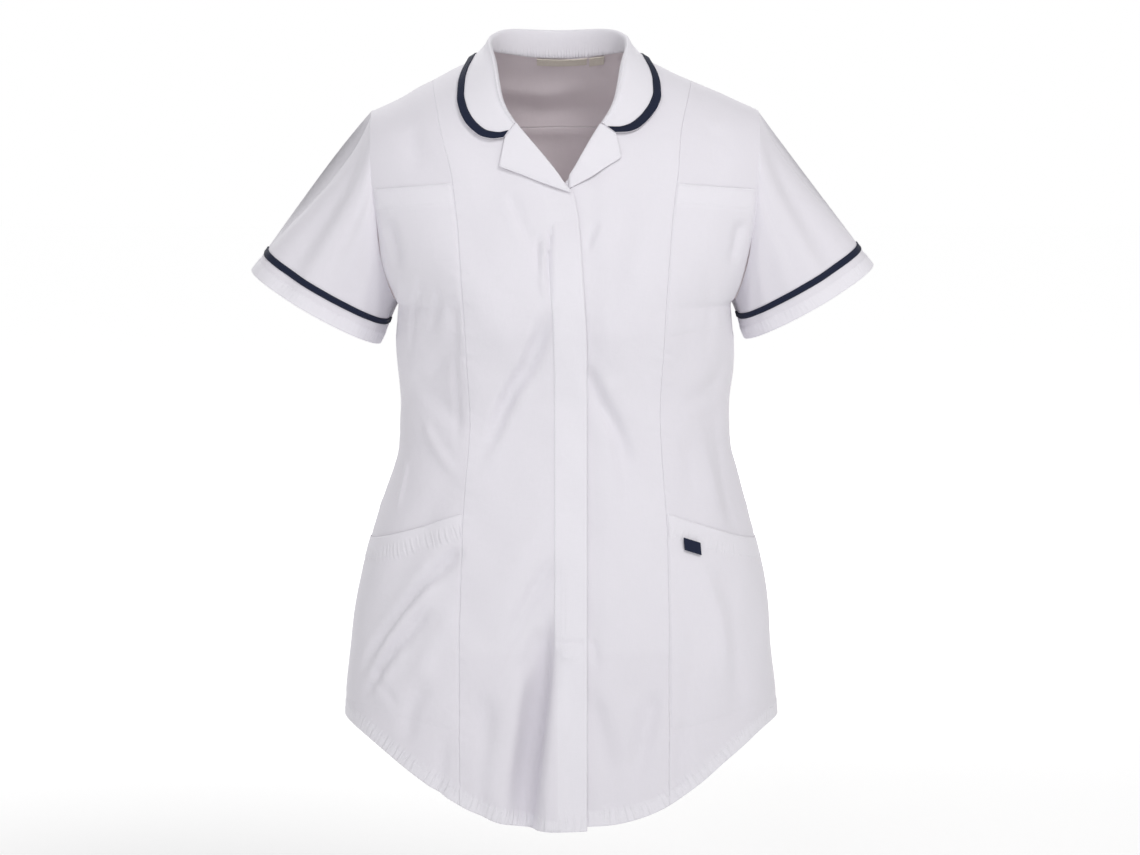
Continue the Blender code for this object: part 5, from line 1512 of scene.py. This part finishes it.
class Value:
    """A shader socket whose arithmetic adds Math nodes."""

    def __init__(self, shader: "Shader", socket: bpy.types.NodeSocket) -> None:
        """Keeps the socket and the shader that it belongs to."""
        self.shader = shader
        self.socket = socket

    def math(self, operation: str, *others: "Value | float") -> "Value":
        """A Math node with this value first."""
        return self.shader.math(operation, self, *others)

    def __add__(self, other: "Value | float") -> "Value":
        """This value plus another."""
        return self.math("ADD", other)

    __radd__ = __add__

    def __sub__(self, other: "Value | float") -> "Value":
        """This value less another."""
        return self.math("SUBTRACT", other)

    def __rsub__(self, other: float) -> "Value":
        """A number less this value."""
        return self.shader.math("SUBTRACT", other, self)

    def __mul__(self, other: "Value | float") -> "Value":
        """This value times another."""
        return self.math("MULTIPLY", other)

    __rmul__ = __mul__

    def __truediv__(self, other: "Value | float") -> "Value":
        """This value divided by another."""
        return self.math("DIVIDE", other)

    def __rtruediv__(self, other: float) -> "Value":
        """A number divided by this value."""
        return self.shader.math("DIVIDE", other, self)

    def __pow__(self, other: "Value | float") -> "Value":
        """This value to a power."""
        return self.math("POWER", other)

    def __neg__(self) -> "Value":
        """This value with its sign turned."""
        return self * -1.0


class Shader:
    """A material whose nodes are made by one method, with a Principled shader at its end."""

    def __init__(self, name: str) -> None:
        """Starts an empty material."""
        self.material = bpy.data.materials.new(name)
        self.material.use_nodes = True
        self.nodes = self.material.node_tree.nodes
        self.links = self.material.node_tree.links
        self.surface = self.nodes["Principled BSDF"]

    def put(self, socket: bpy.types.NodeSocket, value: object) -> None:
        """Links a value to a socket, or sets a plain number or colour on it."""
        if isinstance(value, Value):
            self.links.new(value.socket, socket)
        else:
            socket.default_value = value

    def node(self, kind: str, settings: dict, inputs: dict, output: int | str = 0) -> Value:
        """Adds a node.

        Args:
            kind: its type.
            settings: its settings, and "stops" for a ramp's places and colours.
            inputs: values or links by socket name or number.
            output: the output that is used.

        Returns:
            That output.
        """
        made = self.nodes.new(kind)
        for name, value in settings.items():
            if name == "stops":
                ramp = made.color_ramp.elements
                while len(ramp) < len(value):
                    ramp.new(0.5)
                for element, (place, colour) in zip(ramp, value):
                    element.position = place
                    element.color = colour
            else:
                setattr(made, name, value)
        for name, value in inputs.items():
            self.put(made.inputs[name], value)
        return Value(self, made.outputs[output])

    def math(self, operation: str, *values: "Value | float") -> Value:
        """A Math node."""
        return self.node("ShaderNodeMath", {"operation": operation}, dict(enumerate(values)))

    def ramp(self, value: Value, low: float, high: float) -> Value:
        """0 below low and 1 above high, with soft ends."""
        return self.node(
            "ShaderNodeMapRange", {"interpolation_type": "SMOOTHSTEP"},
            {"Value": value, "From Min": low, "From Max": high},
        )

    def mix(self, share: Value, first: object, second: object) -> Value:
        """A colour between two."""
        return self.node("ShaderNodeMix", {"data_type": "RGBA"}, {0: share, 6: first, 7: second}, 2)

    def noise(self, place: Value, scale: float, detail: float = 2.0, rough: float = 0.5) -> Value:
        """Noise between 0 and 1."""
        return self.node(
            "ShaderNodeTexNoise", {"normalize": True},
            {"Vector": place, "Scale": scale, "Detail": detail, "Roughness": rough},
        )

    def stretched(self, place: Value, scale: tuple, turn: float = 0.0) -> Value:
        """A place with its axes stretched, and turned about Z."""
        return self.node(
            "ShaderNodeMapping", {"vector_type": "POINT"},
            {"Vector": place, "Rotation": (0.0, 0.0, turn), "Scale": scale},
        )

    def cloth(self) -> Value:
        """The cloth's own coordinates in metres."""
        return self.node("ShaderNodeUVMap", {"uv_map": "cloth"}, {})

    def space(self) -> Value:
        """Places on the object in metres."""
        return self.node("ShaderNodeTexCoord", {}, {}, "Object")

    def attribute(self, name: str) -> Value:
        """A number kept on the mesh."""
        return self.node("ShaderNodeAttribute", {"attribute_name": name}, {}, "Fac")

    def split(self, place: Value) -> tuple[Value, Value]:
        """The first two parts of a place."""
        made = self.nodes.new("ShaderNodeSeparateXYZ")
        self.links.new(place.socket, made.inputs[0])
        return Value(self, made.outputs[0]), Value(self, made.outputs[1])

    def bump(self, height: Value, distance: float, strength: float = 1.0) -> None:
        """Gives the surface a relief."""
        normal = self.node(
            "ShaderNodeBump", {}, {"Height": height, "Distance": distance, "Strength": strength}, "Normal"
        )
        self.put(self.surface.inputs["Normal"], normal)

    def set(self, **inputs: object) -> bpy.types.Material:
        """Sets the Principled shader's sockets, with _ for a space in their names."""
        for name, value in inputs.items():
            self.put(self.surface.inputs[name.replace("_", " ")], value)
        return self.material


@dataclass(frozen=True)
class Poplin:
    """White poly-cotton: a fine plain weave, slubs, gathers along turned edges, and soft crumples, with painted shade
    that greys single cloth more than doubled cloth, and a lighter, warmer painted tone on the inner face.
    """

    # Painted shade: single cloth is coloured greyer than doubled cloth, as if the shaded inside showed through it.
    single: tuple = (0.735, 0.716, 0.766, 1.0)
    double: tuple = (0.775, 0.760, 0.808, 1.0)
    # Painted light: inner is a lighter, warmer tone for the cloth's inner face.
    inner: tuple = (0.800, 0.735, 0.762, 1.0)
    roughness: float = 0.78
    sheen: float = 0.18
    thread_gap: float = 0.00045
    pucker_gap: float = 0.0056

    def make(self) -> bpy.types.Material:
        """Builds the material."""
        shader = Shader("poplin")
        cloth = shader.cloth()
        across, down = shader.split(cloth)
        layers, gather = shader.attribute("layers"), shader.attribute("gather")
        slub = shader.noise(shader.stretched(cloth, (2600.0, 90.0, 1.0)), 1.0, 3.0)
        pick = shader.noise(shader.stretched(cloth, (110.0, 2400.0, 1.0)), 1.0, 3.0)
        cloud = shader.noise(shader.space(), 9.0, 2.0)
        # Painted shade: doubled cloth gets the lighter tone and single cloth the greyer one, as if the shaded inside
        # showed through it.
        whole = shader.mix(layers, self.single, self.double)
        # Painted light: the inner face gets a lighter, warmer tone than the outer cloth.
        whole = shader.mix(shader.attribute("inside"), whole, self.inner)
        shade = (slub - 0.5) * 0.05 + (pick - 0.5) * 0.05 + (cloud - 0.5) * 0.035
        tone = shader.node(
            "ShaderNodeHueSaturation", {}, {"Value": shade + 1.0, "Color": whole}, "Color"
        )
        turn = 2 * math.pi / self.thread_gap
        warp = (across * turn).math("SINE")
        weft = (down * turn).math("SINE")
        weave = warp * weft * 0.5 + (slub + pick) * 0.5
        drift = shader.noise(shader.space(), 26.0, 2.0)
        slant = shader.attribute("run") * (2 * math.pi / self.pucker_gap) + drift * 11.0
        uneven = shader.ramp(shader.noise(shader.space(), 38.0, 1.0), 0.24, 0.56)
        pucker = (slant.math("SINE") * 0.5 + (slant * 1.7).math("SINE") * 0.25) * uneven
        crumple = shader.noise(shader.space(), 55.0, 3.0, 0.55)
        height = weave * 0.00003 + pucker * gather * 0.00046 + crumple * 0.0006
        shader.bump(height, 1.0)
        rough = (slub - 0.5) * 0.10 + self.roughness
        return shader.set(Base_Color=tone, Roughness=rough, Sheen_Weight=self.sheen, Sheen_Roughness=0.5,
                          Specular_IOR_Level=0.25)


@dataclass(frozen=True)
class Braid:
    """Navy tape with fine ribs along it."""

    dark: tuple = (0.0050, 0.0075, 0.022, 1.0)
    light: tuple = (0.016, 0.023, 0.055, 1.0)
    rib_gap: float = 0.0011

    def make(self) -> bpy.types.Material:
        """Builds the material."""
        shader = Shader("braid")
        across, down = shader.split(shader.cloth())
        rib = (down * (2 * math.pi / self.rib_gap)).math("SINE") * 0.5 + 0.5
        pick = (across * (2 * math.pi / 0.0009)).math("SINE") * 0.5 + 0.5
        fluff = shader.noise(shader.space(), 900.0, 3.0)
        share = rib * 0.45 + pick * 0.25 + fluff * 0.3
        colour = shader.mix(share, self.dark, self.light)
        shader.bump(rib * 0.00012 + pick * 0.00006 + fluff * 0.00006, 1.0)
        return shader.set(Base_Color=colour, Roughness=0.74 + fluff * 0.12, Sheen_Weight=0.06,
                          Specular_IOR_Level=0.2)


@dataclass(frozen=True)
class LabelTape:
    """Beige woven tape of the labels."""

    dark: tuple = (0.58, 0.53, 0.45, 1.0)
    light: tuple = (0.80, 0.76, 0.68, 1.0)

    def make(self) -> bpy.types.Material:
        """Builds the material."""
        shader = Shader("label_tape")
        place = shader.space()
        rib = shader.noise(shader.stretched(place, (300.0, 300.0, 2500.0)), 1.0, 2.0)
        weave = shader.noise(place, 1400.0, 2.0)
        share = rib * 0.6 + weave * 0.4
        colour = shader.mix(share, self.dark, self.light)
        shader.bump(rib * 0.0002 + weave * 0.0001, 1.0)
        return shader.set(Base_Color=colour, Roughness=0.80 - weave * 0.1, Sheen_Weight=0.2)


@dataclass(frozen=True)
class Thread:
    """Sewing thread."""

    name: str
    colour: tuple = (0.80, 0.79, 0.83, 1.0)

    def make(self) -> bpy.types.Material:
        """Builds the material."""
        shader = Shader(self.name)
        fluff = shader.noise(shader.space(), 1500.0, 2.0)
        tone = shader.node(
            "ShaderNodeHueSaturation", {}, {"Value": fluff * 0.16 + 0.92, "Color": self.colour}, "Color"
        )
        shader.bump(fluff, 0.0001)
        return shader.set(Base_Color=tone, Roughness=0.55 + fluff * 0.1, Sheen_Weight=0.1)


@dataclass(frozen=True)
class StudioFloor:
    """Pale floor that also glows with painted light, faintly near the middle and more strongly further out."""

    colour: tuple = (0.90, 0.90, 0.90, 1.0)
    # Painted glow: the floor's emitted colour near the middle and far out, and the distances over which it rises.
    near: tuple = (0.10, 0.10, 0.10, 1.0)
    far: tuple = (0.60, 0.60, 0.60, 1.0)
    reach: tuple = (0.06, 0.50)
    across: float = 12.0

    def make(self) -> bpy.types.Material:
        """Builds the material."""
        shader = Shader("studio_floor")
        cloud = shader.noise(shader.space(), 3.0, 2.0)
        tone = shader.node(
            "ShaderNodeHueSaturation", {}, {"Value": cloud * 0.02 + 0.99, "Color": self.colour}, "Color"
        )
        distance = shader.node(
            "ShaderNodeVectorMath", {"operation": "LENGTH"}, {0: shader.space()}, "Value"
        ) * (1.0 / self.across)
        # Painted glow: the floor emits light, faint near the middle and stronger further out.
        glow = shader.mix(shader.ramp(distance, *self.reach), self.near, self.far)
        return shader.set(Base_Color=tone, Roughness=0.9, Specular_IOR_Level=0.1,
                          Emission_Color=glow, Emission_Strength=1.0)


class Finishes:
    """The tunic's finishes, by the record's slots."""

    def __init__(self) -> None:
        """Builds every material once."""
        self.slots = {"white_poplin": Poplin().make(), "navy_braid": Braid().make(), "beige_label": LabelTape().make()}
        self.threads = {
            "white_poplin": Thread("white_thread").make(),
            "navy_braid": Thread("navy_thread", (0.008, 0.012, 0.030, 1.0)).make(),
        }
        self.floor = StudioFloor().make()

    def of(self, slot: str) -> bpy.types.Material:
        """The finish of a slot."""
        return self.slots[slot]


@dataclass
class Stitching:
    """Rows of stitches laid along lines by one Geometry Nodes tree."""

    finishes: Finishes
    pitch: float = 0.0030
    length: float = 0.0023
    width: float = 0.00042
    seed: int = 7

    def __post_init__(self) -> None:
        """Builds the tree."""
        self.group = bpy.data.node_groups.new("stitch_row", "GeometryNodeTree")
        face = self.group.interface
        face.new_socket(name="Lines", in_out="INPUT", socket_type="NodeSocketGeometry")
        for name in ("Pitch", "Stitch Length", "Thread Width"):
            face.new_socket(name=name, in_out="INPUT", socket_type="NodeSocketFloat")
        face.new_socket(name="Seed", in_out="INPUT", socket_type="NodeSocketInt")
        face.new_socket(name="Thread", in_out="INPUT", socket_type="NodeSocketMaterial")
        face.new_socket(name="Stitches", in_out="OUTPUT", socket_type="NodeSocketGeometry")
        start = self.add("NodeGroupInput", {}, {})
        curve = self.add("GeometryNodeMeshToCurve", {}, {"Mesh": start.outputs["Lines"]})
        points = self.add("GeometryNodeCurveToPoints", {"mode": "LENGTH"},
                          {"Curve": curve.outputs[0], "Length": start.outputs["Pitch"]})
        ball = self.add("GeometryNodeMeshUVSphere", {}, {"Segments": 6, "Rings": 4, "Radius": 0.5})
        size = self.add("ShaderNodeCombineXYZ", {}, {
            "X": start.outputs["Thread Width"], "Y": start.outputs["Thread Width"],
            "Z": start.outputs["Stitch Length"],
        })
        stitch = self.add("GeometryNodeTransform", {}, {"Geometry": ball.outputs[0], "Scale": size.outputs[0]})
        vary = self.add("FunctionNodeRandomValue", {"data_type": "FLOAT"},
                        {2: 0.88, 3: 1.08, "Seed": start.outputs["Seed"]})
        laid = self.add("GeometryNodeInstanceOnPoints", {}, {
            "Points": points.outputs["Points"], "Instance": stitch.outputs[0],
            "Rotation": points.outputs["Rotation"], "Scale": vary.outputs[1],
        })
        real = self.add("GeometryNodeRealizeInstances", {}, {"Geometry": laid.outputs[0]})
        smooth = self.add("GeometryNodeSetShadeSmooth", {}, {"Geometry": real.outputs[0]})
        done = self.add("GeometryNodeSetMaterial", {},
                        {"Geometry": smooth.outputs[0], "Material": start.outputs["Thread"]})
        self.add("NodeGroupOutput", {}, {"Stitches": done.outputs[0]})

    def add(self, kind: str, settings: dict, inputs: dict) -> bpy.types.Node:
        """Adds a node with its settings, then its values or links."""
        made = self.group.nodes.new(kind)
        for name, value in settings.items():
            setattr(made, name, value)
        for name, value in inputs.items():
            if isinstance(value, bpy.types.NodeSocket):
                self.group.links.new(value, made.inputs[name])
            else:
                made.inputs[name].default_value = value
        return made

    def sew(self, name: str, lines: list[np.ndarray], slot: str = "white_poplin") -> bpy.types.Object:
        """Makes one piece of stitches.

        Args:
            name: the piece's name.
            lines: the lines that the stitches follow.
            slot: the finish's slot in the record.

        Returns:
            The piece.
        """
        corners, edges = [], []
        for line in lines:
            first = len(corners)
            corners += TORSO.sway(line).tolist()
            edges += [(k, k + 1) for k in range(first, len(corners) - 1)]
        path = bpy.data.meshes.new(name + "_path")
        path.from_pydata(corners, edges, [])
        guide = bpy.data.objects.new(name + "_path", path)
        bpy.context.scene.collection.objects.link(guide)
        rows = guide.modifiers.new("stitch_row", "NODES")
        rows.node_group = self.group
        values = {"Pitch": self.pitch, "Stitch Length": self.length, "Thread Width": self.width,
                  "Seed": self.seed, "Thread": self.finishes.threads[slot]}
        for item in self.group.interface.items_tree:
            if item.in_out == "INPUT" and item.name in values:
                rows[item.identifier] = values[item.name]
        graph = bpy.context.evaluated_depsgraph_get()
        mesh = bpy.data.meshes.new_from_object(guide.evaluated_get(graph))
        mesh.name = name
        guide.modifiers.remove(rows)
        piece = bpy.data.objects.new(name, mesh)
        bpy.context.scene.collection.objects.link(piece)
        bpy.data.objects.remove(guide)
        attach(piece, "root")
        LOG.info("%s: %d faces", name, len(mesh.polygons))
        return piece


@dataclass
class Studio:
    """Camera, soft light and floor."""

    finishes: Finishes
    aim: tuple = (0.005, 0.0, -0.361)
    distance: float = 3.0
    elevation: float = math.radians(5.5)
    frame_width: float = 1.14
    sensor: float = 36.0
    floor_height: float = -1.00
    floor_half: float = 30.0
    surround: float = 0.44

    def camera(self) -> None:
        """Places the camera at the photo's angle."""
        data = bpy.data.cameras.new("camera")
        data.sensor_width = self.sensor
        data.lens = self.sensor * self.distance / self.frame_width
        data.clip_end = 200.0
        camera = bpy.data.objects.new("camera", data)
        back, rise = math.cos(self.elevation), math.sin(self.elevation)
        camera.location = Vector(self.aim) + Vector((0.0, -back, rise)) * self.distance
        camera.rotation_euler = (math.pi / 2 - self.elevation, 0.0, 0.0)
        bpy.context.scene.collection.objects.link(camera)
        bpy.context.scene.camera = camera

    def light(self, name: str, place: tuple, size: float, power: float, colour: tuple) -> None:
        """Adds one soft area light that faces the tunic."""
        data = bpy.data.lights.new(name, "AREA")
        data.shape = "DISK"
        data.size = size
        data.energy = power
        data.color = colour
        lamp = bpy.data.objects.new(name, data)
        lamp.location = place
        aim = Vector(self.aim) - Vector(place)
        lamp.rotation_euler = aim.to_track_quat("-Z", "Y").to_euler()
        bpy.context.scene.collection.objects.link(lamp)

    def sky(self) -> None:
        """An even, near-white surround, brighter where it is seen than where it lights."""
        world = bpy.data.worlds.new("surround")
        world.use_nodes = True
        tree = world.node_tree
        ground = tree.nodes["Background"]
        ground.inputs["Color"].default_value = (1.0, 1.0, 1.0, 1.0)
        ground.inputs["Strength"].default_value = self.surround
        seen = tree.nodes.new("ShaderNodeBackground")
        seen.inputs["Color"].default_value = (1.0, 1.0, 1.0, 1.0)
        seen.inputs["Strength"].default_value = 1.0
        path = tree.nodes.new("ShaderNodeLightPath")
        mix = tree.nodes.new("ShaderNodeMixShader")
        tree.links.new(path.outputs["Is Camera Ray"], mix.inputs[0])
        tree.links.new(ground.outputs[0], mix.inputs[1])
        tree.links.new(seen.outputs[0], mix.inputs[2])
        tree.links.new(mix.outputs[0], tree.nodes["World Output"].inputs["Surface"])
        bpy.context.scene.world = world

    def floor(self) -> None:
        """Lays the floor."""
        half, z = self.floor_half, self.floor_height
        mesh = bpy.data.meshes.new("studio_floor")
        mesh.from_pydata([(-half, -half, z), (half, -half, z), (half, half, z), (-half, half, z)], [], [(0, 1, 2, 3)])
        mesh.materials.append(self.finishes.floor)
        floor = bpy.data.objects.new("studio_floor", mesh)
        bpy.context.scene.collection.objects.link(floor)

    def build(self) -> None:
        """Sets up the studio."""
        self.camera()
        self.sky()
        self.light("key", (1.25, -2.2, 2.2), 1.2, 45.0, (1.0, 0.985, 0.975))
        self.light("front_fill", (-0.8, -3.3, 1.0), 1.5, 17.0, (0.97, 0.97, 1.0))
        self.light("top_fill", (-1.6, -0.7, 2.5), 1.4, 3.5, (0.97, 0.97, 1.0))
        self.light("back_key", (-1.5, 4.2, 2.8), 1.6, 100.0, (1.0, 1.0, 1.0))
        self.light("back_fill", (1.8, 6.0, 1.0), 2.4, 60.0, (1.0, 1.0, 1.0))
        self.floor()
        bpy.context.scene.view_settings.view_transform = "Standard"


def sewing(finishes: Finishes, back: Back, fronts: dict, sleeves: dict, collar: Collar) -> None:
    """Sews every visible row of stitches."""
    thread = Stitching(finishes)
    front_lines, sleeve_lines, collar_lines, tape_lines = [], [], [], []
    for side, half in fronts.items():
        front_lines += [
            half.centre.seam(Edge.BOTTOM, 0.0125), half.side_grid.seam(Edge.BOTTOM, 0.0125),
            half.hip.seam(Edge.TOP, 0.0205), half.breast.seam(Edge.TOP, 0.019), half.breast.seam(Edge.TOP, 0.002),
        ]
        sleeve_lines += [sleeves[side].cloth.seam(Edge.BOTTOM, 0.0120)]
        for edge in (Edge.TOP, Edge.BOTTOM):
            tape_lines += [sleeves[side].tape.seam(edge, 0.0010)]
        collar_lines += [collar.lapel_cloths[side].seam(Edge.RIGHT, 0.0022)]
    band = fronts[Side.RIGHT].band
    front_lines += [
        band.seam(Edge.RIGHT, 0.0012, 0.14, 0.76), band.seam(Edge.RIGHT, 0.0072, 0.60, 0.74),
        band.seam(Edge.LEFT, 0.0200, 0.60, 0.74),
    ]
    back_lines = [back.back.seam(Edge.BOTTOM, 0.0125), back.back.seam(Edge.TOP, 0.0014)]
    tape_lines.append(collar.tape.seam(Edge.LEFT, 0.0010))
    collar_lines.append(collar.cloth.seam(Edge.LEFT, 0.0012, 0.22, 0.78))
    thread.sew("front_stitches", front_lines)
    thread.sew("back_stitches", back_lines)
    thread.sew("sleeve_stitches", sleeve_lines)
    thread.sew("collar_stitches", collar_lines)
    thread.sew("braid_stitches", tape_lines, "navy_braid")


def dress_labels(finishes: Finishes) -> None:
    """Gives the solids that stay showing their finish."""
    for node, slot in (("neck_loop", "beige_label"), ("size_tab", "beige_label"), ("pocket_label", "navy_braid")):
        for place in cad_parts[node].material_slots:
            place.material = finishes.of(slot)
        LOG.info("%s: the solid stays, in %s", node, slot)


def main() -> None:
    """Builds the tunic and its studio."""
    logging.basicConfig(level=logging.INFO, format="%(name)s: %(message)s")
    finishes = Finishes()
    back = Back(finishes)
    fronts = {side: Front(finishes, side=side) for side in Side}
    sleeves = {side: Sleeve(finishes, side=side, back=back) for side in Side}
    collar = Collar(finishes)
    for part in (*fronts.values(), back, *sleeves.values(), collar):
        part.build()
    sewing(finishes, back, fronts, sleeves, collar)
    dress_labels(finishes)
    Studio(finishes).build()


if __name__ == "__main__":
    main()
